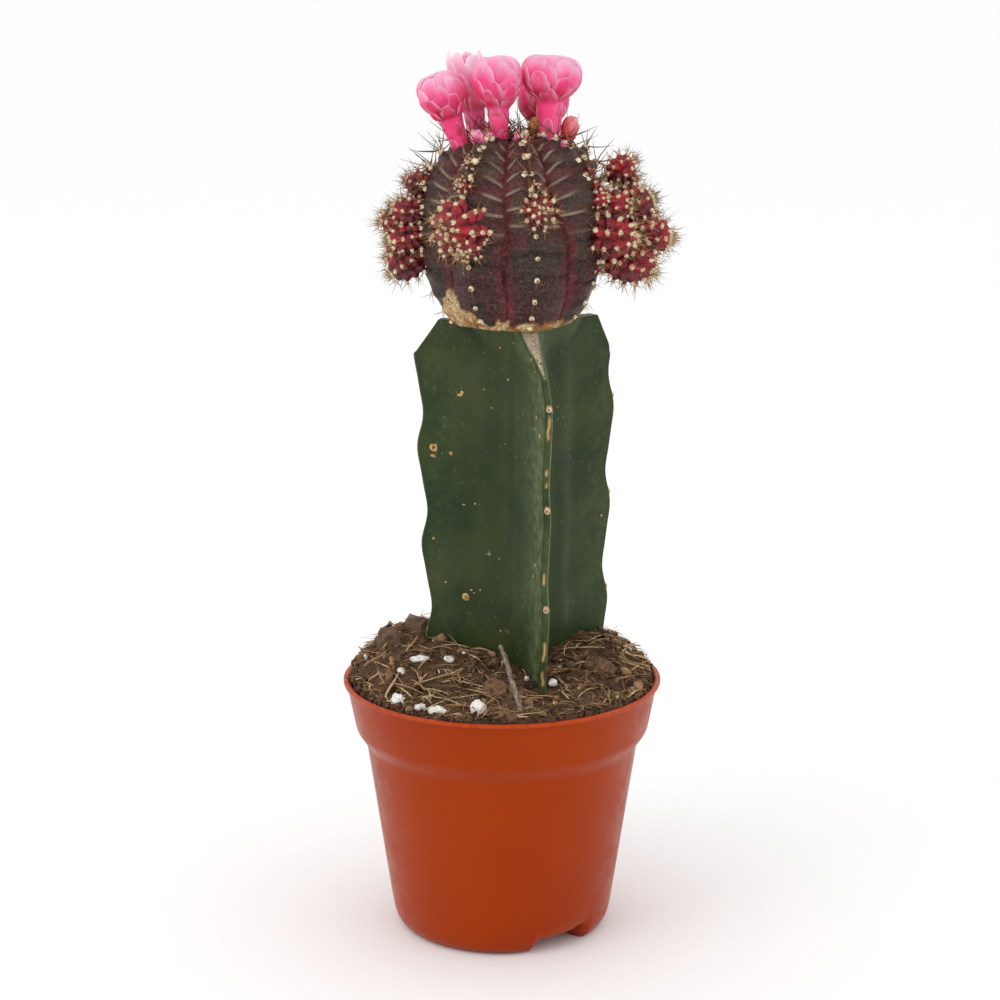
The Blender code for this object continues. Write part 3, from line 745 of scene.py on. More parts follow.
def shape_stem():
    """The skin pushed along its normals by noise and marks, and a flat lid. Also the finish's values."""
    rows = np.concatenate([np.linspace(STEM_FOOT + 4 * MM, STEM_TOP - 1 * MM, 142),
                           STEM_TOP - np.array([0.6, 0.3, 0.1]) * MM])
    ring, scar = stem_surface(rows)
    height, at = rows[:, None], knot_places()[None]
    wing, position = at // KNOTS_A_WING, at % KNOTS_A_WING
    up = soft_step(SCAR_FOOT, STEM_TOP, height)
    narrow = soft_step(-0.1, 0, 0.05 + 0.36 * up - np.abs(position - EDGE_KNOT - 0.12 * up))
    scar = scar * np.where(wing == 0, narrow, 1)
    line = bell(position - 6.05, 0.17) * (1 - scar)
    strips = cork_strips(ring, height, position) * (wing == 0)
    crease, neck = shoulder_creases(wing, height, position)
    push = 0.30 * noise(ring * [1, 1, 0.6], 13 * MM, seed=11, octaves=2)
    push += 0.05 * noise(ring * [1, 1, 0.25], 1.6 * MM, seed=12, octaves=2)
    push += 0.12 * strips - 0.18 * scar + 0.10 * line - 0.5 * crease
    ring = ring + outward(ring) * push[..., None] * MM
    lid = [(ring[-1] - STEM_AXIS) * [s, s, 1] + STEM_AXIS for s in (0.985, 0.93, 0.8, 0.6, 0.35, 0.1)]
    edge = soft_step(-5.8, -0.4, -np.abs(position - EDGE_KNOT)) * np.ones_like(scar)
    values = {"edge": edge, "line": line, "scar": scar, "cork": strips, "crease": crease, "neck": neck}
    for key, value in values.items():
        healed = 0.35 if key == "scar" else 0
        values[key] = np.concatenate([value, np.full((len(lid), value.shape[1]), healed)])
    return np.concatenate([ring, lid]), values


# %% [markdown]
# The skin is waxy and dark green, greyer in a band beside the front wing's edge: partly a whitish bloom,
# partly a painted highlight where that flank catches the light, so the band is stronger towards the front.
# It carries tiny pale specks and a few scuffs. A cactus heals every wound with cork: the knife's cuts are
# now grey-tan and pitted, and the strips on the edge are yellower.

# %% Green skin
def stem_material():
    """Greens, bloom with a painted highlight beside the front edge, specks and scuffs, then cork on the cuts
    and strips.
    """
    stem = Finish("stem_skin", IOR=1.45, Specular_IOR_Level=0.22)
    stem.skin = stem.blend(stem.mottled(75, 0.35, 0.65), (29, 46, 20), (50, 61, 24))
    stem.over(stem.mottled(24, 0.42, 0.68), 0.55, (60, 69, 39))
    edge = stem.stored("edge")
    # partly bloom, partly painted highlight: stronger towards the front, where the flank beside the edge
    # catches the light
    front = stem.scaled(stem.position(1), -6 * MM, -16 * MM, 0.14, 0.72)
    band = stem.times(stem.scaled(edge, 0, 0.62), stem.scaled(edge, 1, 0.62, 0.3, 1))
    bloom_and_sheen = stem.times(band, stem.mottled(420, 0.15, 0.85))
    stem.over(stem.times(bloom_and_sheen, front), 1, (112, 126, 86))
    specks = stem.flecked(1500, 0.55, 0.5, stem.stretched(0.6))
    stem.over(stem.times(specks, stem.mottled(90, 0.36, 0.60)), 0.5, (132, 144, 100))
    stem.over(stem.stored("neck"), 0.35, (84, 98, 66))
    wander = stem.calc("ABSOLUTE", stem.calc("SUBTRACT", stem.noise(stem.where, 85, 1), 0.5))
    scuffs = stem.times(stem.calc("LESS_THAN", wander, 0.004), stem.mottled(150, 0.63, 0.69))
    stem.over(stem.times(scuffs, stem.mottled(1200, 0.45, 0.6)), 0.6, (150, 164, 130))
    # painted shade: the crease below the shoulders is darkened as if in its own shadow
    stem.over(stem.stored("crease"), 0.7, (26, 36, 18))
    stem.over(stem.flecked(260, 0.2, 0.16), 0.8, (150, 122, 72))
    # partly a raised corner, partly painted highlight: the wing's corner is lightened as a thin lit line
    stem.over(stem.stored("line"), 0.75, (132, 146, 112))
    scar, cork = stem.stored("scar"), stem.stored("cork")
    pores = stem.flecked(3600, 0.8, 1)
    callus = stem.blend(stem.mottled(700, 0.3, 0.7), (166, 152, 126), (194, 182, 158))
    stem.over(scar, 1, stem.blend(pores, callus, (74, 58, 44)))
    stem.over(cork, 1, (200, 164, 102))
    fine = stem.group(GRAIN, Scale=1500, Coarse=1.2)
    rough = stem.blend(stem.calc("MAXIMUM", scar, cork), (178, 178, 178), (242, 242, 242))
    worn = stem.times(rough, stem.scaled(fine, 0.7, 1.5, 0.85, 1.2))
    pits = stem.calc("SUBTRACT", fine, stem.times(pores, scar))
    return stem.done(worn, pits, 0.35, 0.12 * MM)


STEM_RINGS, STEM_VALUES = shape_stem()
ringed("stem", STEM_RINGS, stem_material(), STEM_VALUES, ["rootstock"])


# %% [markdown]
# ## Areoles and marks on the stem
# Each areole is a small woolly button with a brown hollow middle. On the flat flanks there are corky
# spots, where an insect or a grain of grit once hurt the skin. Both are the same shape: rings from a
# buried rim up to the middle, standing along the skin's normal.

# %% Buttons, spots and where they sit
BUTTON_ROWS, BUTTON_COLUMNS = 7, 12


def buttons(centres, normals, half_sizes, rise, hollow, seed):
    """Low domes: a rim sunk in the skin, a swelling, and a hollow in the middle. Noise varies each."""
    centres, normals, half_sizes = (
        np.asarray(given)[:, None, None] for given in (centres, normals, half_sizes)
    )
    side, up = across(normals)
    angle = 2 * np.pi * np.arange(BUTTON_COLUMNS) / BUTTON_COLUMNS
    share = np.linspace(1, 0.04, BUTTON_ROWS)[:, None]
    own = np.arange(len(centres))[:, None, None] * 3.7
    circle = stacked(np.cos(angle) * share, np.sin(angle) * share)
    apart = stacked(circle[..., 0], circle[..., 1], own)
    wide = circle * (1 + 0.22 * noise(apart, 0.7, seed))[..., None] * half_sizes
    height = np.sqrt(1 - share**2) * (1 - hollow * bell(share, 0.42)) - 0.35 * (share > 0.99)
    height = height * (1 + 0.3 * noise(apart, 0.45, seed + 1)) * rise
    return centres + side * wide[..., :1] + up * wide[..., 1:] + normals * height[..., None]


def seen_on_stem(x, height):
    """The front-most point of the skin at a sideways place and height (mm), and its normal."""
    ring = stem_surface(np.array([height * MM]))[0]
    ring, normal = ring[0], outward(ring)[0]
    away = np.where(normal[:, 1] < 0, np.abs(ring[:, 0] - x * MM), 1)
    near = np.argsort(away)[:2]
    weight = 1 / (away[near] + 1e-6)
    return (ring[near] * weight[:, None]).sum(0) / weight.sum(), normal[near[0]]


def edge_point(wing, height):
    """The middle of a wing's narrow edge face at a height, and the way that face looks."""
    knots = stem_knots(np.array([height]))[0]
    first = WINGS.index(wing) * KNOTS_A_WING + len(FLANK_KNOTS) - 1
    left, right = knots[first], knots[first + 1]
    return (left + right) / 2, unit(np.cross(right - left, [0, 0, 1]))


def areole_places():
    """Every areole between the soil and the bevel, on all three wings."""
    found = []
    for wing in WINGS:
        for step in range(-1, 4):
            height = wing[3] - step * PITCH
            if 78 * MM < height < STEM_TOP - 8 * MM:
                found.append(edge_point(wing, height))
    return np.array([p for p, _ in found]), np.array([n for _, n in found])


# %% [markdown]
# Wool and cork share one recipe with different colours. The value kept with the points says how near
# the middle a point is.

# %% Wool and cork
def fibre_material(name, pale, deep, heart, relief=0.25):
    """A mottled tone and another in the heart, with a fibrous relief (mm)."""
    fibre = Finish(name, Roughness=0.9, Specular_IOR_Level=0.2)
    fibre.skin = fibre.blend(fibre.mottled(900, 0.35, 0.65), deep, pale)
    fibre.over(fibre.stored("heart"), 1, heart)
    return fibre.done(None, fibre.group(GRAIN, Scale=4200, Coarse=1), 0.8, relief * MM)


AREOLE_WOOL = fibre_material("areole_wool", (246, 232, 204), (214, 184, 140), (110, 52, 28))
CORK = fibre_material("spot_cork", (206, 170, 112), (166, 126, 78), (84, 48, 24), 0.2)


def heart_value(reach):
    """1 in the middle ring of a button, 0 at its rim. One column serves every button and turn."""
    return soft_step(1 - reach, 1 - reach * 0.4, np.linspace(0, 1, BUTTON_ROWS))[:, None]


SPOTS = (  # sideways place, height, half width, half height in mm, hollow middle
    (-11, 145.2, 0.9, 0.45, 0), (-10.4, 145.9, 0.55, 0.6, 0), (-18, 130.5, 1.15, 1.15, 0.95),
    (-18.1, 128.2, 0.8, 0.5, 0.2), (-13.5, 129.3, 0.6, 0.6, 0.1), (-4.6, 147.4, 0.3, 0.3, 0),
    (-2.7, 142.7, 0.32, 0.3, 0), (1.7, 150.8, 0.2, 0.45, 0), (-0.4, 158.8, 0.35, 0.35, 0.2),
    (8.8, 143.6, 0.3, 0.6, 0), (9.6, 139.2, 0.3, 0.6, 0.1), (8.4, 140.4, 0.2, 0.4, 0),
    (-10.1, 115.6, 0.55, 0.25, 0), (-7, 116.3, 0.35, 0.35, 0), (-18.2, 105.6, 0.4, 0.4, 0.2),
    (-15, 93.8, 0.3, 0.35, 0), (-9.6, 90.3, 1.15, 1.1, 0.45), (-8.2, 92.4, 0.45, 0.3, 0),
    (-7.4, 91.7, 0.3, 0.25, 0), (-5.7, 92.9, 0.32, 0.3, 0), (-0.8, 102.3, 0.3, 0.3, 0),
    (-0.3, 82.5, 0.3, 0.3, 0), (26.8, 109.9, 0.35, 0.35, 0.1), (8.6, 104.5, 0.28, 0.45, 0),
    (8.1, 101.2, 0.2, 0.5, 0), (18.6, 77.9, 0.9, 0.4, 0), (17.3, 76.9, 0.35, 0.7, 0),
    (3, 161, 0.2, 0.3, 0), (7.4, 158.6, 0.15, 0.35, 0), (8.4, 155.4, 0.15, 0.3, 0),
    (16, 139.4, 0.25, 0.2, 0), (0.9, 133.6, 0.2, 0.15, 0),
)


AREOLE_HALF = 0.80 * MM


def add_stem_marks():
    """Wool on every areole, a flat cork border under it, and the spots on the flanks."""
    centres, normals = areole_places()
    sizes = np.full((len(centres), 2), AREOLE_HALF)
    pads = buttons(centres - normals * 0.1 * MM, normals, sizes, 0.62 * MM, 0.75, seed=21)
    ringed("stem_areoles", pads, AREOLE_WOOL, {"heart": heart_value(0.95) * 0.7})
    borders = buttons(centres - normals * 0.2 * MM, normals, sizes * [1.15, 1.6], 0.2 * MM, 0, seed=22)
    ringed("stem_areole_borders", borders, CORK, {"heart": 0})
    shapes, hearts = [], []
    for number, (x, height, wide, high, hollow) in enumerate(SPOTS):
        at, way = seen_on_stem(x, height)
        half = np.array([[wide, high]]) * MM
        shapes.append(buttons([at - way * 0.05 * MM], [way], half, 0.28 * MM, hollow, seed=30 + number))
        hearts.append(heart_value(0.5) * hollow)
    ringed("stem_spots", np.concatenate(shapes), CORK, {"heart": np.stack(hearts)})


add_stem_marks()


# %% [markdown]
# ## The soil
# Potting soil is peat with fibres, bark and white perlite (volcanic glass puffed up by heat). Its body is
# one round patch whose height is a formula: it rises steeply from the wall to a flat heap that is higher
# at the back, and noise of three sizes breaks it up. The crumbs and straws on it are what the eye reads
# as soil.

# %% The height of the soil
SOIL_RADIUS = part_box("soil")[1].x
SOIL_EDGE = 68.5 * MM
FRONT_HEAP = 4.2 * MM
BACK_HEAP = 8.9 * MM
DIMPLE = (10.5 * MM, -24 * MM, 6 * MM, -2.6 * MM)  # place, width and height: at the front wing's foot
MOUND = (-27 * MM, 13 * MM, 10 * MM, 2.6 * MM)  # and round the two bark pieces
SOIL_ROWS, SOIL_COLUMNS = 72, 232
SOIL_SIDE = ((0.985, 64), (0.935, 57), (0.87, 53.5), (0.69, 8), (0.3, 4), (0.01, 4))  # hidden


def soil_height(place):
    """Edge height plus (1 - (r/R)^n) times the heap, for points (..., 3): n is larger at the back."""
    x, y = place[..., 0], place[..., 1]
    heap = FRONT_HEAP + (BACK_HEAP - FRONT_HEAP) * soft_step(-24 * MM, 6 * MM, y)
    for middle_x, middle_y, width, rise in (MOUND, DIMPLE):
        heap = heap + rise * bell(np.hypot(x - middle_x, y - middle_y), width)
    flat = place * [1, 1, 0]
    clods = 1 * MM * noise(flat, 7 * MM, seed=41) + 0.7 * MM * noise(flat, 3.1 * MM, seed=42)
    crumbs = 0.5 * MM * noise(flat, 1.2 * MM, seed=43, octaves=2)
    flatness = 4 + 3.5 * soft_step(-20 * MM, 8 * MM, y)
    inside = 1 - np.minimum(1, np.hypot(x, y) / (SOIL_RADIUS + 1 * MM)) ** flatness
    return SOIL_EDGE + inside * heap + np.sqrt(inside) * clods + crumbs


def shape_soil():
    """Rings from the middle of the top out to the wall, then down the wall and under."""
    share = np.linspace(0.004, 1, SOIL_ROWS) ** 0.75
    turn = heading(np.linspace(0, 360, SOIL_COLUMNS, endpoint=False))
    top = share[:, None, None] * turn * SOIL_RADIUS
    top[..., 2] = soil_height(top)
    side = np.array(SOIL_SIDE)
    wall = side[:, :1, None] * turn * SOIL_RADIUS
    wall[..., 2] = side[:, 1:] * MM
    return np.concatenate([top, wall])


def on_soil(place, lift):
    """The same places set on the surface."""
    set_down = place * [1, 1, 0]
    set_down[..., 2] = soil_height(place) + lift
    return set_down


# %% [markdown]
# Peat is near black-brown when wet and mid-brown when dry, so its colour wanders at every size. Crumbs,
# straws, bark and perlite share its recipe, with a tone for each piece, kept as a value with its points:
# one mesh of a thousand straws can then have a thousand colours.

# %% Peat, straw and bark
def litter_material(name, dark, middle, light, scale, relief):
    """Three tones: the piece's own tone picks between dark, middle and light, and mottling varies it."""
    litter = Finish(name, Roughness=0.92, Specular_IOR_Level=0.25)
    own = litter.stored("tone")
    litter.skin = litter.blend(litter.scaled(own, 0, 0.55), dark, middle)
    litter.over(litter.scaled(own, 0.5, 1), 1, light)
    litter.over(litter.mottled(scale, 0.32, 0.68), 0.6, dark)
    fine = litter.group(GRAIN, Scale=scale * 3, Coarse=1.5)
    return litter.done(litter.scaled(fine, 0.8, 1.6, 0.8, 0.98), fine, 0.9, relief * MM)


PEAT = litter_material("peat_litter", (54, 38, 29), (122, 90, 66), (184, 146, 108), 620, 0.5)
STRAW = litter_material("straw", (104, 74, 50), (182, 144, 98), (234, 206, 158), 500, 0.1)
CHIP = litter_material("bark_chip", (62, 50, 42), (112, 90, 74), (168, 128, 94), 420, 0.6)
SOIL_RINGS = shape_soil()
SOIL_TONE = np.clip(0.33 + 0.3 * noise(SOIL_RINGS, 2.2 * MM, seed=44, octaves=2), 0, 1)
ringed("soil_bed", SOIL_RINGS, PEAT, {"tone": SOIL_TONE}, ["soil"])

# %% [markdown]
# Places are drawn evenly over the disc (the square root of a random number gives the radius, or the
# middle would be crowded), and those inside the stem are thrown away. A fixed seed makes every run the
# same.

# %% Crumbs
RNG = np.random.default_rng(7)


def outside_stem(places, margin):
    """True where a place lies clear of the stem's section: further out than the skin in its direction."""
    section = stem_surface(np.array([SOIL_EDGE + 3.5 * MM]))[0][0] - STEM_AXIS
    skin_turn = np.arctan2(section[:, 0], -section[:, 1])
    order = np.argsort(skin_turn)
    skin = np.hypot(section[:, 0], section[:, 1])[order]
    off = places - STEM_AXIS
    reach = np.interp(np.arctan2(off[:, 0], -off[:, 1]), skin_turn[order], skin, period=2 * np.pi)
    return np.hypot(off[:, 0], off[:, 1]) > reach + margin


def scattered(count, margin, within, beyond=0):
    """Random places on the soil, clear of the stem, between two shares of the radius."""
    turn = heading(RNG.uniform(0, 360, count))
    places = turn * (SOIL_RADIUS * within * np.sqrt(RNG.uniform(beyond**2, 1, count)))[:, None]
    return places[outside_stem(places, margin)]


def add_crumbs(name, count, low, high, material, seed, sunk=0.25, tones=(0, 1), beyond=0,
               within=0.985):
    """Rough lumps with sizes from low to high (mm); small ones are commoner."""
    places = scattered(count, high * 0.5 * MM, within, beyond / within)
    total = len(places)
    size = (low + (high - low) * RNG.uniform(0, 1, total) ** 2.5) * MM
    sizes = size[:, None] * RNG.uniform(0.35, 1, (total, 3))
    centres = on_soil(places, size * (0.5 - sunk))
    rings = lumps(centres, sizes, random_axes(RNG, total), 5, 6, rough=0.6, grain=0.75, seed=seed)
    ringed(name, rings, material, {"tone": RNG.uniform(*tones, total)[:, None, None]})


add_crumbs("crumbs_fine", 720, 0.35, 1.2, PEAT, 51)
add_crumbs("crumbs_coarse", 200, 0.9, 2.3, PEAT, 52, 0.35, (0, 0.9))
add_crumbs("crumbs_edge", 680, 0.4, 1.25, PEAT, 54, 0.15, (0, 0.72), 0.935, 1.018)
add_crumbs("chips", 60, 0.9, 2.2, CHIP, 53, 0.2, (0.2, 1))

# %% [markdown]
# ### Straws
# A straw's path follows the soil's height at every step, plus a small arch of its own. Its direction
# bends a little from end to end. Some have one end in the soil and the other in the air.

# %% Straws and root hairs
def add_straws(name, count, lengths, radii, arch, stand, tones=(0.2, 1), bend=15, rows=8, sides=4,
               beyond=0, inset=0.6):
    """Paths: x and y from a start, a direction and a bend; height from the soil plus an arch."""
    start = scattered(count, 0.8 * MM, 0.98, beyond)
    total = len(start)
    share = np.linspace(-0.5, 0.5, rows)[None, :]
    length = RNG.uniform(*lengths, total)[:, None] * MM
    turn = RNG.uniform(0, 360, total)[:, None] + share * RNG.normal(0, bend, total)[:, None]
    path = start[:, None] + heading(turn) * (share * length)[..., None]
    inside = np.minimum(1, (SOIL_RADIUS - inset * MM) / np.hypot(path[..., 0], path[..., 1]))
    path = path * inside[..., None]
    lift = RNG.uniform(0.1, 1, total)[:, None] * arch * MM * (1 - (2 * share) ** 2)
    rise = RNG.uniform(0, 1, total)[:, None] ** 3 * stand * (share + 0.5) * length
    smooth = soil_height(path)
    smooth = 0.2 * smooth + 0.8 * smooth.mean(1, keepdims=True)
    path[..., 2] = np.maximum(smooth, soil_height(path) - 0.7 * MM) + lift + rise + 0.3 * MM
    keep = outside_stem(path.reshape(-1, 3), 0.2 * MM).reshape(total, rows).all(1)
    thick = RNG.uniform(*radii, total)[:, None] * MM * (1 - 0.55 * np.abs(2 * share) ** 3)
    tone = RNG.uniform(*tones, total)[keep, None, None]
    ringed(name, tubes(path[keep], thick[keep], sides, flat=0.6), STRAW, {"tone": tone})


add_straws("straws", 300, (3, 11), (0.12, 0.36), 0.7, 0.3)
add_straws("long_straws", 42, (10, 18), (0.16, 0.42), 0.9, 0.12, (0.6, 1), 10)
add_straws("root_hairs", 1000, (1.5, 7), (0.05, 0.12), 0.7, 0.6, (0, 0.85), 24, 5, 3)
add_straws("dark_fibres", 900, (1.2, 4.5), (0.06, 0.16), 0.5, 0.5, (0, 0.3), 30, 5, 3)
add_straws("edge_fibres", 500, (1.5, 5), (0.06, 0.14), 0.6, 0.3, (0.1, 0.9), 24, 6, 3, 0.90, -0.9)

# %% [markdown]
# ### Bark, clods, a pebble and perlite
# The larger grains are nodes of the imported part. Each is replaced by a finer lump, whose place and size
# are measured from its node.

# %% Grains measured from the frame
def node_points(name):
    """All corners of a node, in metres."""
    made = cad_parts[name]
    points = np.empty(len(made.data.vertices) * 3, np.float32)
    made.data.vertices.foreach_get("co", points)
    turn = np.array(made.matrix_world)
    return points.reshape(-1, 3) @ turn[:3, :3].T + turn[:3, 3]


def measured(names):
    """Each node's middle, half sizes and three axes, longest first, from how its corners spread."""
    found = []
    for name in names:
        points = node_points(name)
        middle = (points.min(0) + points.max(0)) / 2
        axes = np.linalg.svd(points - middle, full_matrices=False)[2]
        reach = (points - middle) @ axes.T
        found.append((middle, (reach.max(0) - reach.min(0)) / 2, axes))
    return [np.array(column) for column in zip(*found)]


def add_grains(name, nodes, material, rough, grain, tone, seed, rows=24, columns=26, square=1,
               sink=0):
    """Fine lumps in place of plain ones, a little larger. A power under 1 on each side squares them."""
    centres, sizes, axes = measured(nodes)
    centres[:, 2] = np.maximum(centres[:, 2], soil_height(centres) + 0.25 * sizes.min(1)) + sink
    rings = lumps(centres, sizes * 1.08, axes, rows, columns, rough, grain, seed, octaves=3)
    local = np.einsum("nrck,njk->nrcj", rings - centres[:, None, None], axes) / sizes[:, None, None]
    local = np.sign(local) * np.abs(local) ** square * sizes[:, None, None]
    rings = centres[:, None, None] + np.einsum("nrcj,njk->nrck", local, axes)
    ringed(name, rings, material, {"tone": tone}, nodes)


PERLITE = litter_material("perlite_glass", (200, 192, 178), (232, 229, 222), (250, 248, 243), 900, 0.3)
PERLITES = [f"perlite_{number}" for number in range(1, 9)]
add_grains("perlite_grains", PERLITES, PERLITE, 0.42, 0.42, 1, 71)
BARK = ["bark_left", "bark_back"]
add_grains("bark_pieces", BARK, CHIP, 0.8, 0.5, 0.6, 72, 44, 48, 0.55, -1.2 * MM)
add_grains("clods", ["clod_front", "clod_right"], PEAT, 0.45, 0.35, 0.6, 73, 40, 44)
add_grains("pebble", ["pebble_right"], CHIP, 0.3, 0.7, 0.9, 74)
DUST = on_soil(scattered(34, 1 * MM, 0.95), 0.3 * MM)
DUST_SIZES = RNG.uniform(0.35, 0.85, (len(DUST), 3)) * MM
DUST_RINGS = lumps(DUST, DUST_SIZES, random_axes(RNG, len(DUST)), 7, 8, 0.35, 0.6, 75)
ringed("perlite_dust", DUST_RINGS, PERLITE, {"tone": 0.9})


# %% [markdown]
# The twig leans on the heap. It is a tube along the route that the part gives it, with bark that
# cracks lengthwise: the noise that roughens it is stretched along the twig.

# %% The twig
TWIG = litter_material("twig_bark", (72, 58, 48), (146, 128, 110), (198, 180, 158), 800, 0.3)
TWIG_RADIUS = 0.78 * MM
TWIG_ROWS = 40


def add_twig():
    """The route is read from the node: the middles of its corners in slices from low end to high end."""
    points = node_points("twig")
    axis = points[points[:, 1].argmax()] - points[points[:, 1].argmin()]
    along = (points @ axis - (points @ axis).min()) / np.ptp(points @ axis)
    slices = [points[np.abs(along - share) < 0.13].mean(0) for share in (0.02, 0.25, 0.5, 0.75, 0.98)]
    path = smooth_curve(np.array(slices), np.linspace(0, 4, TWIG_ROWS))
    path += 0.25 * MM * np.stack([noise(path + i, 3 * MM, seed=80 + i) for i in range(3)], axis=-1)
    taper = 1 - 0.25 * np.linspace(0, 1, TWIG_ROWS)
    radius = TWIG_RADIUS * taper * (1 + 0.15 * noise(path, 2.2 * MM, seed=84))
    rings = tubes(path[None], radius[None], sides=18)
    middle = rings.mean(2, keepdims=True)
    crack = noise((rings - middle) * 6 + middle * 0.7, 1.4 * MM, seed=85, octaves=2)
    rings = middle + (rings - middle) * (1 + 0.22 * crack[..., None])
    tone = np.clip(0.62 + 0.7 * crack, 0, 1)
    ringed("twig_bark", rings, TWIG, {"tone": tone}, ["twig"])


add_twig()


# %% [markdown]
# ## The scion
# The globe is a chin cactus: a turned outline whose radius swells and sinks eight times round, the ribs.
# Two numbers place every point: the turn round the axis and the distance along the outline, from the
# base over the shoulder to the sunken crown.
#
# Each rib is a row of low bumps, one for each areole. Between two bumps a raised pale bar runs from the
# furrow to the crest, so the bars meet like a herringbone, steep near the crown and almost level below.
# *Side* is 0 on a crest and 1 in a furrow. *Step* grows by one from areole to areole, and adding some of
# *side* to it bends the bars.

# %% Outline, ribs and steps
SCION_X = 3 * MM
SCION_AXIS = np.array([SCION_X, 0, 0])
SCION_OUTLINE = np.array([
    (14.8, 165.3), (17.2, 167.4), (19.8, 171.5), (22, 177.5), (23, 184.5), (23, 191), (22.3, 198.5),
    (20.4, 204.4), (17.4, 208.4), (13, 211.2), (8.5, 211.9), (4, 210.4), (0.3, 209.3),
]) * MM  # radius and height
GRAFT = 165.3  # height in mm of the lowest ring
RIBS = 8
FIRST_RIB = 17  # azimuth
RIB_DEPTH = 0.078  # share of the radius
AREOLE_GAPS = np.array([1.9, 3, 5.1, 6.1, 5.5, 5.5, 5.4, 5.2, 4.6, 4.3, 4, 3.7, 3.4, 3.2, 3, 2.8]) * MM
AREOLE_ALONG = np.cumsum(AREOLE_GAPS)  # distance along the outline of each areole
RIB_SHIFT = 0.42  # every second rib starts this share of a step higher
SCION_ROWS, SCION_COLUMNS = 188, 336


def outline_points(count):
    """Points evenly spaced along the outline, and their distances along it."""
    fine = smooth_curve(SCION_OUTLINE, np.linspace(0, len(SCION_OUTLINE) - 1, 900))
    along = distances(fine)
    wanted = np.linspace(0, along[-1], count)
    return np.stack([np.interp(wanted, along, fine[:, i]) for i in (0, 1)], axis=-1), wanted


def leaning(azimuth, height):
    """How far (degrees) the pattern of ribs is turned: ribs right of the front lean together at the top."""
    high = soft_step(186 * MM, 203 * MM, height)
    return 16 * high * bell(azimuth - 32, 26) - (1 - high) * (
        3.5 * bell(azimuth - 44, 12) - 3 * bell(azimuth - 14, 12)
    )


def rib_numbers(azimuth, height):
    """Which rib, and across: 0 on its crest, -1 and 1 in the furrows."""
    turns = (azimuth + leaning(azimuth, height) - FIRST_RIB) / (360 / RIBS)
    rib = np.round(turns)
    return rib.astype(int), 2 * (turns - rib)


def surface_normals(rings):
    """Unit normals of one stack of rings that go round by azimuth from low to high."""
    along_ring = np.roll(rings, -1, axis=1) - np.roll(rings, 1, axis=1)
    return unit(np.cross(along_ring, np.gradient(rings, axis=0)), 1e-15)


def ribbed_globe():
    """The outline turned, its radius a little larger on the crests: 1 + depth * (0.65 - 2 side^1.8)."""
    profile, along = outline_points(SCION_ROWS)
    azimuth = np.linspace(-180, 180, SCION_COLUMNS, endpoint=False) + 0 * along[:, None]
    wander = 2.2 * noise(stacked(azimuth / 40, along[:, None] / (9 * MM), 0), 1, 90)
    height = profile[:, 1:] + 0 * azimuth
    rib, across_rib = rib_numbers(azimuth + wander, height)
    side = np.abs(across_rib)
    level = (profile[:, 1:] - profile[0, 1]) / np.ptp(profile[:, 1])
    depth = RIB_DEPTH * np.sin(np.pi * np.clip(level, 0, 1) ** 0.8)
    depth = depth + 0.035 * soft_step(200, 211, height / MM)
    rings = heading(azimuth) * (profile[:, :1] * (1 + depth * (0.65 - 2 * side**1.8)))[..., None]
    rings[..., 2] = height
    step = np.interp(along, AREOLE_ALONG, np.arange(len(AREOLE_ALONG)))[:, None] + RIB_SHIFT * (rib % 2)
    return rings, azimuth, side, step


def shape_scion():
    """The ribbed globe, then bumps, bars, folds and grooves pushed along its normals."""
    rings, azimuth, side, step = ribbed_globe()
    normal, height = surface_normals(rings), rings[..., 2] / MM
    high = soft_step(188, 206, height)
    bend = 0.12 + 1.05 * high * np.clip((height - 186) / 20, 0, 1.3)
    phase = (step + bend * side**1.4 + 0.10 * noise(rings, 6 * MM, seed=91)) % 1
    within = phase - 0.5
    strength = soft_step(0.10, 0.45, side) * (1 - soft_step(0.86, 0.98, side))
    strength = strength * (0.05 + 0.95 * soft_step(187, 196, height))
    strength = strength * (1 - soft_step(10.4, 11.6, step))
    strength = np.clip(strength * (0.7 + 0.5 * noise(rings, 5 * MM, seed=92)), 0, 1)
    bar = strength * bell(within, 0.070) * (0.45 + 0.55 * soft_step(0.2, 0.75, side))
    shade = strength * bell(within + 0.13, 0.07)
    vein = soft_step(0.952, 0.99, side + 0.03 * noise(rings, 2 * MM, seed=93))
    seam = vein * (1 - soft_step(184, 191, height))
    bulge = np.cos(2 * np.pi * (step + 0.10 * side)) * (1 - side) ** 0.8 * (0.35 + 0.75 * high)
    fold = bell(phase - 0.16, 0.08) * (1 - side) ** 0.35 * (1 - high)
    fold = fold * np.clip(0.75 + 1.1 * noise(rings, 4 * MM, seed=98), 0, 1)
    fold = fold * (0.4 + 0.6 * soft_step(172, 182, height))
    round_ = 1 - (2 * np.abs(np.abs(within) - 0.5)) ** 2
    pillow = np.sqrt(np.clip(round_, 0, 1)) * (1 - side**3) * high
    cork = cork_patches(azimuth, height, rings)
    push = 0.35 * bar - 0.45 * shade + 0.60 * bulge - 0.40 * vein - 0.72 * fold + 0.85 * pillow
    push += 0.30 * noise(rings, 4.5 * MM, seed=94, octaves=2)
    push += 0.09 * noise(rings, 0.9 * MM, seed=95, octaves=2)
    push += cork * (0.45 + 0.35 * noise(rings, 1.3 * MM, seed=96, octaves=3))
    crown = soft_step(202, 208.5, height) * (0.6 + 0.6 * noise(rings, 3 * MM, seed=99))
    # shade and shoulder are painted shade: a line under each bar and fold, the bump shoulders and the crown
    values = {"bar": bar, "shade": np.clip(shade + 1.25 * fold, 0, 1), "vein": vein - 0.6 * seam,
              "seam": seam, "side": side, "cork": cork,
              "shoulder": np.clip(1.5 * bulge * high + crown * (1 - bar), 0, 1)}
    return rings + normal * push[..., None] * MM + SCION_AXIS, normal, values


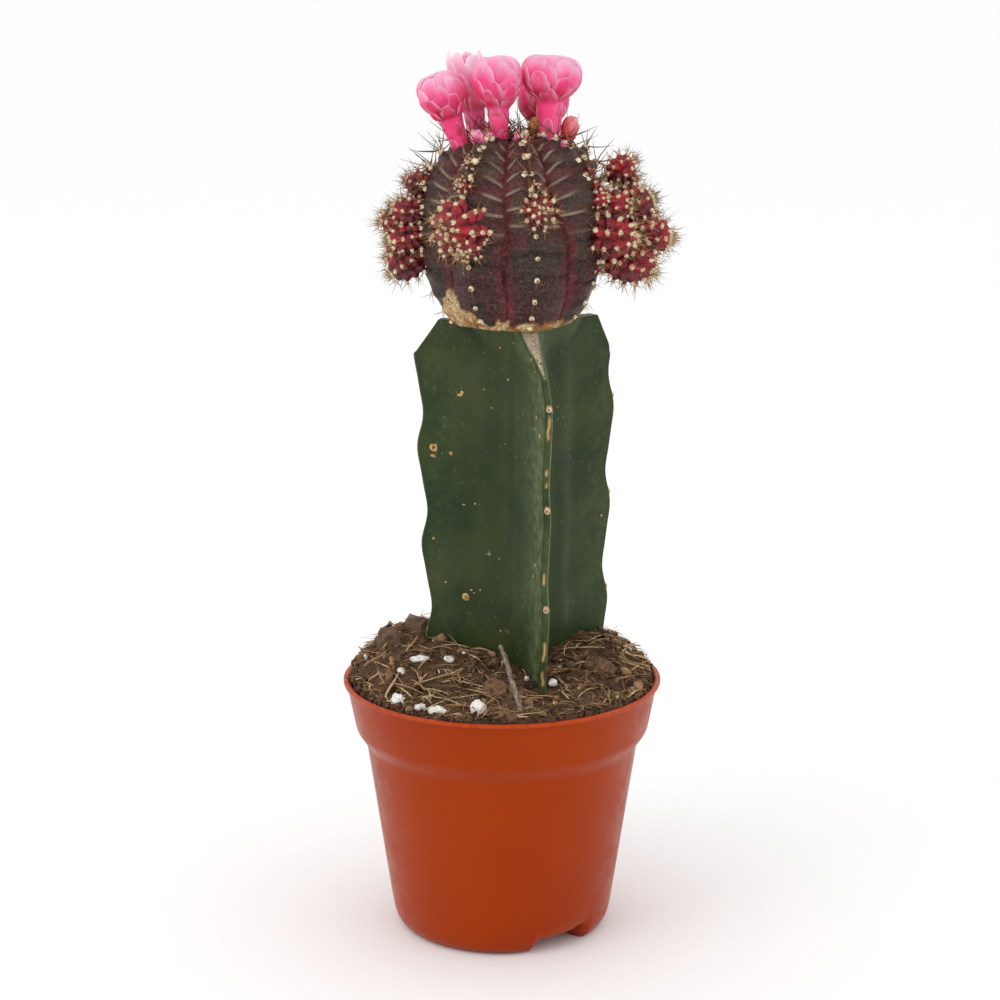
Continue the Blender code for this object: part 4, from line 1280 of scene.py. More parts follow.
def cork_patches(azimuth, height, rings):
    """Corky skin: a patch low on the left, one on the right, and a crumbly band along the graft."""
    ragged = noise(rings, 2.6 * MM, seed=97, octaves=3)
    left = 8.4 * bell(azimuth + 54, 21) + 4.5 * ragged * bell(azimuth + 52, 28)
    right = 13 * bell(azimuth - 84, 8) + 3 * ragged * bell(azimuth - 84, 14)
    broken = 0.35 + 0.65 * (np.cos(np.radians(azimuth * 3 - 40)) > -0.2)
    band = 2.4 * (0.75 + 1.3 * ragged) * broken
    return soft_step(-0.5, 0.4, np.maximum(np.maximum(left, right), band) - (height - GRAFT))


# %% [markdown]
# The skin is a dull purple-brown over grey-green, with crimson in the furrows, which darkens to a thin
# seam low down. Bars are pale, with a painted shadow below each bar and each fold, and the shoulders of the
# bumps and the crown are darkened as painted shade. Light and dark specks (the pores) cover everything,
# and old skin near the graft is crumbly cork.

# %% Purple skin
def scion_material():
    """Browns by height, then green, red, the stored marks, specks and cork, each laid over the last."""
    globe = Finish("scion_skin", IOR=1.45, Specular_IOR_Level=0.22)
    height = globe.position(2)
    level = globe.scaled(height, 174 * MM, 204 * MM)
    wide = globe.mottled(110, 0.38, 0.60)
    low_skin = globe.blend(wide, (62, 28, 30), (42, 36, 30))
    globe.skin = globe.blend(level, low_skin, globe.blend(wide, (88, 44, 46), (78, 66, 56)))
    globe.over(globe.mottled(48, 0.47, 0.66), 0.8, (40, 44, 34))
    red = globe.calc("MULTIPLY_ADD", globe.mottled(170, 0.46, 0.66), 0.6, 0.5)
    near_furrow = globe.scaled(globe.stored("side"), 0.62, 0.95, 0, 0.9)
    globe.over(globe.times(near_furrow, red), 1, (108, 32, 44))
    globe.over(globe.mottled(520, 0.55, 0.72, globe.stretched(0.22)), 0.3, (112, 40, 52))
    # shoulder and shade lay painted shade; bar, vein and seam are marks of the skin
    for name, strength, tone in (
        ("shoulder", 0.75, (30, 20, 20)), ("shade", 0.85, (30, 18, 18)), ("bar", 0.9, (198, 176, 150)),
        ("vein", 0.95, (88, 12, 25)), ("seam", 0.85, (30, 12, 16)),
    ):
        globe.over(globe.stored(name), strength, tone)
    globe.over(globe.mottled(1500, 0.45, 0.62), 0.24, (128, 96, 84))
    globe.over(globe.mottled(1100, 0.56, 0.44), 0.24, (26, 14, 16))
    globe.over(globe.flecked(1300, 0.55, 0.6), 0.28, (150, 120, 108))
    dark_pores = globe.flecked(900, 0.5, 0.5)
    globe.over(dark_pores, 0.35, (30, 18, 18))
    globe.over(globe.flecked(300, 0.40, 0.18), 0.8, (168, 122, 78))
    skin, patch = globe.skin, globe.stored("cork")
    raised = globe.scaled(height, 167 * MM, 169.5 * MM)
    crumbly = globe.blend(raised, (146, 98, 48), (180, 150, 108))
    globe.skin = globe.blend(globe.mottled(430, 0.4, 0.62), (198, 172, 130), crumbly)
    globe.over(globe.mottled(1300, 0.48, 0.60), 0.65, (116, 80, 48))
    globe.over(globe.flecked(230, 0.4, 0.3), 0.9, (92, 52, 30))
    globe.skin = globe.blend(patch, skin, globe.skin)
    fine = globe.group(GRAIN, Scale=2600, Coarse=1)
    worn = globe.calc("ADD", globe.scaled(fine, 0.6, 1.4, 0.42, 0.58), globe.times(patch, 0.35))
    return globe.done(worn, globe.calc("SUBTRACT", fine, globe.times(dark_pores, 0.8)), 0.7, 0.16 * MM)


SCION_RINGS, SCION_NORMALS, SCION_VALUES = shape_scion()
ringed("scion_globe", SCION_RINGS, scion_material(), SCION_VALUES, ["scion"])


# %% [markdown]
# ### Spines
# A spine is a thin tapering tube, a little bowed. The spines of one areole stand round it like the ribs
# of an umbrella: some lie close to the skin and a few stand up. There are over three thousand, so each
# has only a few faces.

# %% Fans of spines
SPINE_TAPER = (1, 0.85, 0.6, 0.16)  # thickness from foot to tip
SPINE_TONE = np.array([0.15, 0.1, 0, -0.2])[:, None]


def spine_fans(centres, normals, count, lengths, thick, tilt, bow, rng):
    """Paths and radii: each spine leans from its areole's normal by a tilt and bows back towards it."""
    total = len(centres)
    side, up = across(normals)
    turn = 2 * np.pi * (np.arange(count)[None] + rng.uniform(0, 1, (total, 1))) / count
    turn = turn + rng.normal(0, 0.25, (total, count))
    lean = np.radians(rng.uniform(*tilt, (total, count)))
    flat = side[:, None] * np.cos(turn)[..., None] + up[:, None] * np.sin(turn)[..., None]
    way = normals[:, None] * np.cos(lean)[..., None] + flat * np.sin(lean)[..., None]
    length = rng.uniform(*lengths, (total, count)) * MM
    share = np.linspace(-0.06, 1, len(SPINE_TAPER))[:, None]
    curve = normals[:, None] * rng.uniform(0, bow, (total, count, 1))
    curve = curve - flat * rng.uniform(0, bow, (total, count, 1))
    path = centres[:, None, None] + way[:, :, None] * share * length[..., None, None]
    path = path + curve[:, :, None] * share**2 * length[..., None, None]
    path[..., 2] += rng.normal(0, 0.04, (total, count, 1)) * (share[:, 0] ** 2) * length[..., None]
    radius = thick * MM * rng.uniform(0.75, 1.2, (total, count, 1)) * SPINE_TAPER
    return path.reshape(-1, 4, 3), radius.reshape(-1, 4)


def add_spines(name, fans, tones, rng):
    """All the fans in one mesh. The tone darkens from the foot to the tip."""
    paths, radii = (np.concatenate(parts) for parts in zip(*fans))
    tone = np.clip(rng.uniform(*tones, (len(paths), 1, 1)) + SPINE_TONE, 0, 1)
    ringed(name, tubes(paths, radii, sides=3), SPINE, {"tone": tone})


SPINE = litter_material("spine_horn", (84, 52, 34), (150, 108, 68), (214, 182, 132), 1500, 0.03)
print("a fan:", spine_fans(np.zeros((1, 3)), np.eye(3)[2:], 6, (2, 3), 0.1, (50, 70), 0.2, RNG)[0].shape)

# %% [markdown]
# ### The globe's areoles
# An areole sits on every crest at every whole step. Low down it is a worn pad with a few short spines
# that droop. Towards the crown it is a tuft of fresh wool with long brown spines.

# %% Wool pads and spines of the globe
def on_scion(azimuth, along):
    """The finished surface at a turn and a distance along the outline, and its normal there."""
    column = np.round((azimuth + 180) / 360 * SCION_COLUMNS).astype(int) % SCION_COLUMNS
    row = np.clip(np.round(along / OUTLINE_LENGTH * (SCION_ROWS - 1)).astype(int), 0, SCION_ROWS - 1)
    return SCION_RINGS[row, column], SCION_NORMALS[row, column]


OUTLINE_LENGTH = outline_points(2)[1][-1]


def scion_areoles():
    """Where every areole lies, the normal there, and its step. A few rounds undo the pattern's lean."""
    profile, distance = outline_points(SCION_ROWS)
    rib, step = (grid.ravel() for grid in np.mgrid[:RIBS, :len(AREOLE_ALONG)])
    index = step - RIB_SHIFT * (rib % 2)
    along = np.interp(index, np.arange(len(AREOLE_ALONG)), AREOLE_ALONG)
    azimuth = (FIRST_RIB + 360 / RIBS * rib + 180) % 360 - 180
    upright = azimuth
    for _ in range(8):
        azimuth = upright - leaning(azimuth, np.interp(along, distance, profile[:, 1]))
    kept = (index >= 0) & (along < OUTLINE_LENGTH - 1 * MM)
    return *on_scion(azimuth[kept], along[kept]), index[kept]


def add_scion_areoles():
    """Worn pads up to the sixth step, woolly tufts with long spines from the seventh to the thirteenth."""
    rng = np.random.default_rng(17)
    at, normal, index = scion_areoles()
    lower, upper = index < 6.4, (index > 6.6) & (index < 13.2)
    low_at, low_way, high_at, high_way = at[lower], normal[lower], at[upper], normal[upper]
    sizes = rng.uniform(0.55, 0.85, (len(low_at), 2)) * MM
    pads = buttons(low_at + 0.05 * MM * low_way, low_way, sizes, 0.75 * MM, 0.55, seed=101)
    ringed("scion_pads", pads, AREOLE_WOOL, {"heart": heart_value(0.35) * 0.6})
    tufts = high_at.repeat(3, axis=0) + rng.normal(0, 0.45, (3 * len(high_at), 3)) * MM
    tufts += 0.35 * MM * high_way.repeat(3, axis=0)
    sizes = rng.uniform(0.42, 0.88, (len(tufts), 3)) * MM
    wool = lumps(tufts, sizes, random_axes(rng, len(tufts)), 7, 8, 0.35, 0.6, 102)
    ringed("crown_wool", wool, AREOLE_WOOL, {"heart": 0})
    drooping = unit(low_way - [0, 0, 0.45])
    low_feet, high_feet = low_at + 0.4 * MM * low_way, high_at + 0.5 * MM * high_way
    fans = [
        spine_fans(low_feet, drooping, 4, (1.3, 3.4), 0.10, (25, 70), 0.15, rng),
        spine_fans(high_feet, high_way, 5, (4.5, 8.5), 0.18, (45, 82), 0.22, rng),
        spine_fans(high_feet, high_way, 1, (5, 8.5), 0.2, (10, 40), 0.1, rng),
    ]
    add_spines("scion_spines", fans, (-0.1, 0.55), rng)


add_scion_areoles()


# %% [markdown]
# ## The offsets
# Young globes bud from the ribs. Each is a small plant of its own, about eight ribs with deep furrows
# between them, divided into round bumps. A ball of cream wool and a fan of fine spines tops each bump.
# They grow outwards, so each has its own axis.

# %% Where the offsets stand
OFFSETS = (  # name, azimuth, height, distance, radius, half length in mm, the axis's rise, ribs
    ("front_left", -34, 191.6, 24, 7.6, 6.6, 5, 9), ("front", 15, 196.3, 22.9, 4.7, 4.6, 12, 10),
    ("front_bud", 13.5, 202, 21, 1.7, 1.7, 30, 7), ("rib_upper", -33, 206.6, 18.8, 2.4, 2.3, 40, 7),
    ("rib_lower", -34, 201.9, 21.8, 2.5, 2.4, 20, 7), ("left_middle", -89, 191.4, 27.8, 5.5, 6, 0, 7),
    ("left_top", -92, 200.2, 23.8, 4.1, 4, 25, 7), ("left_low", -87, 181.2, 27, 5.2, 6, -35, 6),
    ("left_tiny", -88, 204.4, 21.2, 1.4, 1.4, 30, 5), ("right_large", 82, 187.4, 27.8, 10.8, 10.6, 2, 10),
    ("right_top", 93, 202.9, 26.5, 4.2, 6.6, 30, 7), ("right_inner", 66, 199.6, 22.8, 2.7, 2.6, 20, 6),
    ("right_small", 64, 204, 20.8, 1.9, 1.9, 35, 5), ("right_low", 66, 180.2, 23.3, 1.2, 1.2, -10, 5),
    ("back_left", -140, 192.5, 24.6, 6.4, 6, 5, 8), ("back_high", 168, 200.5, 23, 4.2, 4, 25, 7),
    ("back_right", 138, 190, 25, 6.6, 6.2, 0, 8), ("back_low", -172, 183, 24.2, 4.6, 4.4, -15, 7),
)
HEADS = {  # further heads that have grown out of an offset, in the same order without the name
    "right_large": ((72, 195.2, 26.3, 5.2, 5.2, 14, 8), (68, 188.4, 26.6, 6.7, 6.8, 2, 9),
                    (78, 181.6, 30, 6.3, 6.6, -22, 8), (86, 187.6, 34.6, 5.6, 5.8, -4, 8),
                    (82, 195.8, 31.2, 5, 5.2, 26, 8), (84, 190, 31, 6.2, 6.2, 5, 8)),
    "right_top": ((88, 204.4, 27.4, 3.9, 4.2, 40, 7), (92, 201.2, 29, 3, 3.2, 20, 6)),
    "right_inner": ((61, 198, 24.6, 2.1, 2.1, 15, 6),),
    "left_middle": ((-80, 194.4, 27, 3.9, 4.6, 8, 7), (-80, 187.8, 27.4, 4.2, 4.8, -12, 7)),
    "left_low": ((-96, 183.4, 29, 3.8, 4.4, -20, 6),),
    "front_left": ((-26, 188.3, 25.6, 4.2, 4.2, -20, 7),),
}
FURROW = 0.30  # how deep a furrow cuts, as a share of the radius
GAP_DEPTH = 0.17  # and the dip between two bumps
TUFT = (1.28, 1.54, 1.36, 1.30, 1.40)  # lifts (rad) of the wool on the growing tip
CLUSTERS = ("right_large", "right_top")  # only their heads are shown: they fill the whole
OFFSET_GRID = ((1.5, 32, 24), (3, 46, 34), (6, 78, 56), (99, 88, 64))  # up to a radius: columns, rows


def offset_frame(head):
    """The middle of an offset's head and its own three directions: sideways, upwards and outwards."""
    azimuth, height, distance, _, _, rise, _ = head
    out = heading(azimuth)
    tilt = math.radians(rise)
    axis = out * math.cos(tilt) + np.array([0, 0, math.sin(tilt)])
    side = heading(azimuth + 90)
    middle = SCION_AXIS + [0, 0, height * MM] + out * distance * MM
    return middle, np.stack([side, np.cross(axis, side), axis])


def rib_wander(way, seed):
    """How far a rib strays sideways, as a share of a rib."""
    return 0.16 * noise(way + seed, 0.9, seed + 50)


def bump_steps(head):
    """Bumps from end to end: half the way round, over a gap that is closer on a young, small offset."""
    radius, length = head[3:5]
    return (radius + length) / 2 * np.pi / np.clip(0.9 + 0.33 * radius, 1.3, 3.1)


def bump_shift(rib, seed):
    """How many steps a rib's bumps stand off from the next rib's: half, give or take a little."""
    return 0.5 * (rib % 2) + 0.16 * np.sin(rib * 2.4 + seed)


def offset_point(turn, lift, head, seed):
    """Radius factor on an ellipsoid: ribs across the turn (rad), bumps along the lift (rad), and noise."""
    _, _, _, radius, length, _, ribs = head
    way = ways(turn, lift)
    number = turn / (2 * np.pi) * ribs + rib_wander(way, seed)
    rib = np.round(number)
    across_rib = np.abs(2 * (number - rib))
    phase = (lift / np.pi + 0.5) * bump_steps(head) + bump_shift(rib, seed)
    bump = 0.5 + 0.5 * np.cos(2 * np.pi * phase)
    cut = FURROW * across_rib**1.7 + GAP_DEPTH * (1 - bump) * (1 - 0.5 * across_rib)
    cut = cut * np.cos(lift) ** 0.7 * (1 - 0.55 * soft_step(0.7, 1.4, lift))
    factor = 1.03 - cut + 0.10 * noise(way, 0.8, seed, octaves=2)
    return way * factor[..., None] * [radius * MM, radius * MM, length * MM], across_rib, bump


def shape_offset(head, seed, columns, rows):
    """One head's rings, and how near each point is to a furrow, a bump, a stripe and the underside."""
    lift = np.radians(np.linspace(-88, 88, rows))[:, None]
    turn = 2 * np.pi * np.arange(columns) / columns
    local, across_rib, bump = offset_point(turn, lift, head, seed)
    middle, axes = offset_frame(head)
    points = middle + local @ axes
    rise = (points[..., 2] - middle[2]) / (head[3] * MM)
    # under: where the head faces down, kept for painted shade
    under = soft_step(0.15, -0.75, rise + 0.35 * noise(points, 3 * MM, 60))
    stripe = 0.5 + 0.5 * np.cos(3 * np.pi * across_rib)
    furrow = across_rib * np.sqrt(np.cos(lift))
    return points, {"furrow": furrow, "bump": bump, "stripe": stripe, "under": under}


def offset_areoles(head, seed):
    """The tops of the bumps, every whole step on every rib, and a tuft on the growing tip."""
    _, _, _, radius, length, _, ribs = head
    steps = bump_steps(head)
    rib, step = (grid.ravel() for grid in np.mgrid[:ribs, 1:int(steps) + 1])
    lift = ((step - bump_shift(rib, seed)) / steps - 0.5) * np.pi
    turn = 2 * np.pi * rib / ribs
    turn = turn - 2 * np.pi / ribs * rib_wander(ways(turn, lift), seed)
    kept = (lift > -1.3) & (lift < 1.42)
    tuft = TUFT[:5 if radius > 3 else 2]
    lift, turn = np.append(lift[kept], tuft), np.append(turn[kept], 1.3 * np.arange(len(tuft)))
    local, _, _ = offset_point(turn, lift, head, seed)
    middle, axes = offset_frame(head)
    at = middle + local @ axes
    normal = unit((local / np.array([radius, radius, length]) ** 2) @ axes)
    clear = scion_clearance(at) > 0.6 * MM
    return at[clear], normal[clear]


def outside_head(points, head):
    """True where points lie outside another head, taken as a plain ellipsoid a little under its size."""
    _, _, _, radius, length, _, _ = head
    middle, axes = offset_frame(head)
    local = (points - middle) @ axes.T / (np.array([radius, radius, length]) * MM * 0.9)
    return (local**2).sum(-1) > 1


def scion_clearance(points):
    """How far points stand out from the globe's outline at their height."""
    profile, _ = outline_points(300)
    rising = profile[profile[:, 1] < SCION_OUTLINE[:, 1].max()][:260]
    radius = np.interp(points[:, 2], rising[:, 1], rising[:, 0], right=0)
    return np.hypot(points[:, 0] - SCION_X, points[:, 1]) - radius


# %% [markdown]
# The skin shines, because young cells are taut and waxy. Colour follows the shape: the furrows are
# darkened near black as painted shade, the bump tops are brightened as a painted highlight, the underside
# is darkened as painted shade, and thin paler lines run along the ribs.

# %% Crimson skin
def offset_material():
    """Crimsons, pale lines, painted shade in the furrows, a painted highlight on the bump tops and painted
    shade on the underside.
    """
    young = Finish("offset_skin", IOR=1.45, Specular_IOR_Level=0.42)
    young.skin = young.blend(young.mottled(330, 0.40, 0.60), (162, 22, 36), (98, 20, 32))
    young.over(young.mottled(120, 0.46, 0.60), 0.75, (80, 28, 34))
    young.over(young.times(young.stored("stripe"), young.mottled(600, 0.42, 0.62)), 0.45, (206, 70, 84))
    furrow = young.stored("furrow")
    # painted shade: the furrows are darkened near black
    young.over(young.scaled(furrow, 0.6, 1, 0, 0.9), 1, (44, 8, 18))
    # painted highlight: the bump tops away from the furrows are brightened
    tops = young.times(young.scaled(young.stored("bump"), 0.55, 1), young.scaled(furrow, 0.5, 0))
    young.over(tops, 0.45, (206, 46, 54))
    # painted shade: the underside of each head is darkened
    young.over(young.stored("under"), 0.7, (78, 32, 36))
    young.over(young.flecked(2600, 0.3, 0.2), 0.3, (206, 120, 116))
    fine = young.group(GRAIN, Scale=2400, Coarse=1.4)
    return young.done(young.scaled(fine, 0.7, 1.7, 0.26, 0.46), fine, 0.4, 0.1 * MM)


def clothe(head, others, seed, rng):
    """The wool's places and size on one head, and its fans of spines: longer on a larger head."""
    radius = head[3]
    at, normal = offset_areoles(head, seed)
    outside = np.ones(len(at), bool)
    for other in others:
        outside &= outside_head(at, other)
    at, normal = at[outside], normal[outside]
    size = min(1, 0.42 + radius / 11)
    long, thick = 1.2 + 0.24 * min(radius, 7), 0.10 * (0.6 + 0.4 * size)
    feet, around = at + 0.3 * MM * normal, 5 if radius > 3 else 2
    fans = [spine_fans(feet, normal, around, (long * 0.6, long * 1.35), thick, (42, 78), 0.25, rng),
            spine_fans(feet, normal, 1, (long * 0.8, long * 1.6), thick, (5, 35), 0.2, rng)]
    return at + 0.15 * MM * normal, np.full((len(at), 1), size), fans


def add_offsets():
    """Each offset's heads in one piece, then the wool and the spines of all of them."""
    rng = np.random.default_rng(23)
    skin = offset_material()
    centres, sizes, fans = [], [], []
    for number, (name, *whole) in enumerate(OFFSETS):
        heads = HEADS.get(name, ()) if name in CLUSTERS else (tuple(whole), *HEADS.get(name, ()))
        widest = max(head[3] for head in heads)
        columns, rows = next((c, r) for most, c, r in OFFSET_GRID if widest <= most)
        shapes = []
        for i, head in enumerate(heads):
            seed = 200 + number + 40 * i
            shapes.append(shape_offset(head, seed, columns, rows))
            at, size, around = clothe(head, heads[:i] + heads[i + 1:], seed, rng)
            centres, sizes, fans = [*centres, at], [*sizes, size], fans + around
        values = {key: np.stack([v[key] for _, v in shapes]) for key in shapes[0][1]}
        rings = np.stack([rings for rings, _ in shapes])
        ringed(f"offset_{name}_skin", rings, skin, values, ["offset_" + name])
    centres, sizes = np.concatenate(centres), np.concatenate(sizes)
    sizes = sizes * rng.uniform(0.50, 0.82, (len(centres), 3)) * MM
    balls = lumps(centres, sizes, random_axes(rng, len(centres)), 5, 7, 0.3, 0.55, 241)
    ringed("offset_wool", balls, AREOLE_WOOL, {"heart": 0})
    add_spines("offset_spines", fans, (0.35, 1), rng)


add_offsets()


# %% [markdown]
# ## Flowers
# Each flower is a fleshy tube that widens into a closed, slightly dented ball of petals. Scales sit on
# the tube. They grow into broad sepals and then petals, which overlap as roof tiles do.
#
# First comes a body turned about the flower's own bent axis. A petal is a patch laid on that body: one
# number runs from its foot to its tip, the other across it. Its underside is the same patch moved
# inwards, so that every petal is a closed thin solid.

# %% The flowers, and the body they share
FLOWERS = (  # foot (x, y) and bulb's middle in mm, its radius and length, tube and foot radius, openness
    ("flower_left", (-9.8, -5), (-15.2, -7, 223.9), 6.3, 10.7, 3.3, 2.2, 0),
    ("flower_centre", (-0.6, -6), (-1.2, -7, 227.4), 6.7, 12, 3, 2, 0),
    ("flower_right", (11.6, -2.5), (12.5, -2.2, 228.1), 8.1, 10.4, 3.6, 2.9, 0),
    ("flower_back_left", (-5.4, 4), (-8.6, 6, 226.5), 5.4, 15, 2.8, 2.2, 1),
    ("flower_back_right", (9.5, 6.5), (10.8, 11.4, 220.9), 7, 11.6, 2.6, 2, 0),
)
FLOWER_FOOT = 208.5 * MM
PETALS_STAND = 0.85 * MM  # how far the petals together stand off the body
CLOSED_BULB = ((0.50, -0.91), (0.79, -0.59), (0.96, -0.23), (1, 0.10), (0.975, 0.38), (0.88, 0.66),
               (0.68, 0.86), (0.42, 0.93), (0.18, 0.87), (0.015, 0.80))  # shares of radius and half length
OPEN_BULB = ((0.50, -0.84), (0.78, -0.5), (0.92, -0.15), (0.98, 0.15), (0.98, 0.45), (0.90, 0.70),
             (0.72, 0.80), (0.5, 0.72), (0.25, 0.45), (0.015, 0.4))


class Body:
    """A turned body on a bent axis: radius and rise come from knots, read by the distance along them."""

    def __init__(self, foot, middle, radius, length, tube, narrow, openness, bow=0):
        foot, middle = np.array(foot), np.array(middle)
        reach = np.linalg.norm(middle - foot)
        self.foot, self.reach, self.half = foot, reach, length / 2
        self.axis = (middle - foot) / reach
        side, up = across(self.axis[None])
        self.side, self.up, self.bow = side[0], up[0], bow
        bulb = np.array(CLOSED_BULB if openness < 0.5 else OPEN_BULB)
        bulb = bulb * [radius, self.half] + [0, reach]
        bulb[0, 0] = 1.12 * tube
        neck = reach - self.half
        stem = [(narrow + (tube - narrow) * share**1.5, neck * share) for share in (0, 0.35, 0.7, 0.95)]
        knots = np.concatenate([stem, bulb])
        fine = smooth_curve(knots, np.linspace(0, len(knots) - 1, 400))
        self.along = distances(fine)
        self.fine, self.total = fine, self.along[-1]
        rising = slice(0, fine[:, 1].argmax() + 1)
        self.heights, self.rising = fine[rising, 1], self.along[rising]

    def read(self, along):
        """Radius and rise at a distance along the outline."""
        return [np.interp(along, self.along, column) for column in self.fine.T]

    def level(self, share):
        """The distance along the outline to a height: the bulb's middle plus a share of its half length."""
        return np.interp(self.reach + share * self.half, self.heights, self.rising)

    def at(self, along, turn, off):
        """The point at a distance along the outline and a turn round it, moved off the surface."""
        radius, rise = self.read(along)
        ahead, behind = (self.read(np.clip(along + d, 0, self.total)) for d in (0.2 * MM, -0.2 * MM))
        slope_r, slope_z = ahead[0] - behind[0], ahead[1] - behind[1]
        size = np.hypot(slope_r, slope_z) + 1e-12
        radius = np.maximum(radius + off * slope_z / size, 0.05 * MM)
        rise = rise - off * slope_r / size
        bent = self.bow * np.sin(np.pi * np.clip(rise / self.reach, 0, 1))
        flat = self.side * np.cos(turn)[..., None] + self.up * np.sin(turn)[..., None]
        return (self.foot + self.axis * rise[..., None] + flat * radius[..., None]
                + self.side * bent[..., None])


def body_rings(body, rows, columns):
    """The body itself, a little inside its own outline."""
    turn = 2 * np.pi * np.arange(columns) / columns
    return body.at(np.linspace(0, body.total, rows)[:, None], turn, -0.05 * MM)


def petal_rings(body, turn, start, end, width, off, rows, half, cup, lift=0, twist=0, flare=0):
    """One petal: outline width * sqrt(1 - v^4) * (0.6 + 0.4 sin(v pi/2)), cupped, one edge tucked under."""
    v = 1 - (1 - np.linspace(0, 1, rows)[:, None]) ** 1.5
    u = np.concatenate([np.linspace(-1, 1, half), np.linspace(1, -1, half)])[None]
    under = np.concatenate([np.zeros(half), np.ones(half)])[None]
    along = start + (end - start) * v
    outline = np.sqrt(np.maximum(1 - v**4, 0.004)) * (0.6 + 0.4 * np.sin(v * np.pi / 2))
    radius = np.maximum(body.read(along)[0], 1.2 * MM)
    around = turn + twist * v + u * width * outline / radius
    rim = soft_step(0.6, 1, np.abs(u))
    pillow = cup * (1 - u**2) * np.sin(np.pi * np.clip(v * 0.9 + 0.1, 0, 1)) ** 0.7
    rise = soft_step(0, 0.55, v)
    stand = (off + 0.07 * MM * u + pillow) * rise + lift * v**3 - 0.35 * MM * (1 - rise) ** 2
    stand = stand - under * 0.25 * MM * (1 - 0.8 * rim)
    stand = stand + 0.07 * MM * np.sin(u * 4 + turn * 3) * v
    points = body.at(along, around, stand) + body.axis * (flare * soft_step(0.45, 1, v))[..., None]
    return points, *np.broadcast_arrays(u, v)


# %% [markdown]
# Petals of one whorl stand evenly round the body, and the next whorl stands in its gaps. The scales on
# the tube follow the golden angle instead (0.382 of a turn), so that none stands exactly above another.

# %% Dress a flower in scales and petals
def dress(body, radius, tube, counts, rng, openness, detail):
    """Petals from the inner whorl out, then sepals from the neck and scales on the tube."""
    scales, low, sepals, outer, tips, inner = counts
    rows, half = detail
    found = []
    top, neck = body.total, body.level(-1)
    first = rng.uniform(0, 1)

    def add(start, end, width, off, tone, place_round, **more):
        """One petal or scale, a little off its even place."""
        turn = 2 * np.pi * (first + place_round) + rng.normal(0, 0.07)
        rings, u, v = petal_rings(body, turn, start, end, width, off * MM, rows=rows, half=half, **more)
        found.append((rings, u, v, tone + rng.normal(0, 0.06)))

    reach = top - body.level(0)
    for i in range(inner):
        end = top - reach * rng.uniform(0.05, 0.16)
        if openness > 0.9:
            end = body.level(rng.uniform(0.55, 0.80))
        more = {"flare": rng.uniform(1, 2.8) * MM * openness, "twist": 0.12, "cup": radius * 0.04}
        add(body.level(-0.7), end, radius * 0.60, 0.02 + 0.08 * (i % 3), 0.95, i / inner, **more)
    for i in range(tips):
        more = {"flare": MM * (0.05 + 1.8 * openness), "cup": radius * 0.05}
        end = body.level(rng.uniform(0.76, 0.98) - 0.25 * openness)
        add(body.level(-0.5), end, radius * 0.42, 0.20 + 0.06 * (i % 2), 0.82, (i + 0.2) / tips, **more)
    for i in range(outer):
        more = {"flare": rng.uniform(0, 1.8) * MM * openness, "cup": radius * 0.045}
        end = body.level(rng.uniform(0.50, 0.74))
        add(body.level(-0.9), end, radius * 0.50, 0.30 + 0.06 * (i % 2), 0.60, (i + 0.5) / outer, **more)
    for count, start, ends, width, off, tone, ahead, cup in (
        (sepals, 0.95, (-0.02, 0.30), 0.38, (0.42, 0.06), 0.24, 0.1, 0.055),
        (low, 0.82, (-0.55, -0.22), 0.31, (0.50, 0.05), 0.02, 0.6, 0.05),
    ):
        for i in range(count):
            end, stand = body.level(rng.uniform(*ends)), off[0] + off[1] * (i % 2)
            more = {"cup": radius * cup, "lift": 0.05 * MM}
            add(neck * start, end, radius * width, stand, tone, (i + ahead) / count, **more)
    for i in range(scales):
        middle = neck * (0.20 + 0.72 * (i + 0.5) / scales)
        size = tube * (0.62 + 0.26 * middle / neck)
        add(middle - size, middle + size, size * 0.60, -0.02, 0.40, i * 0.382, cup=0.07 * MM, lift=0.02 * MM)
    return found


def join(found):
    """Stacks petals of one grid size into one array of rings and its values."""
    rings, u, v, tone = (np.stack(column) for column in zip(*found))
    return rings, {"edge": np.abs(u), "tip": v, "tone": tone[:, None, None]}


# %% [markdown]
# A petal is thin and full of water, so light passes into it and comes out pinker: a little subsurface
# scattering does that. Its colour is deep at the foot, paler to the tip and palest at the rim: partly the
# petal's own colour, partly painted shade at the foot, where the next petal's rim covers it, and a painted
# highlight on the thin, lit rim. The faint veins are a noise read in the petal's own two numbers.

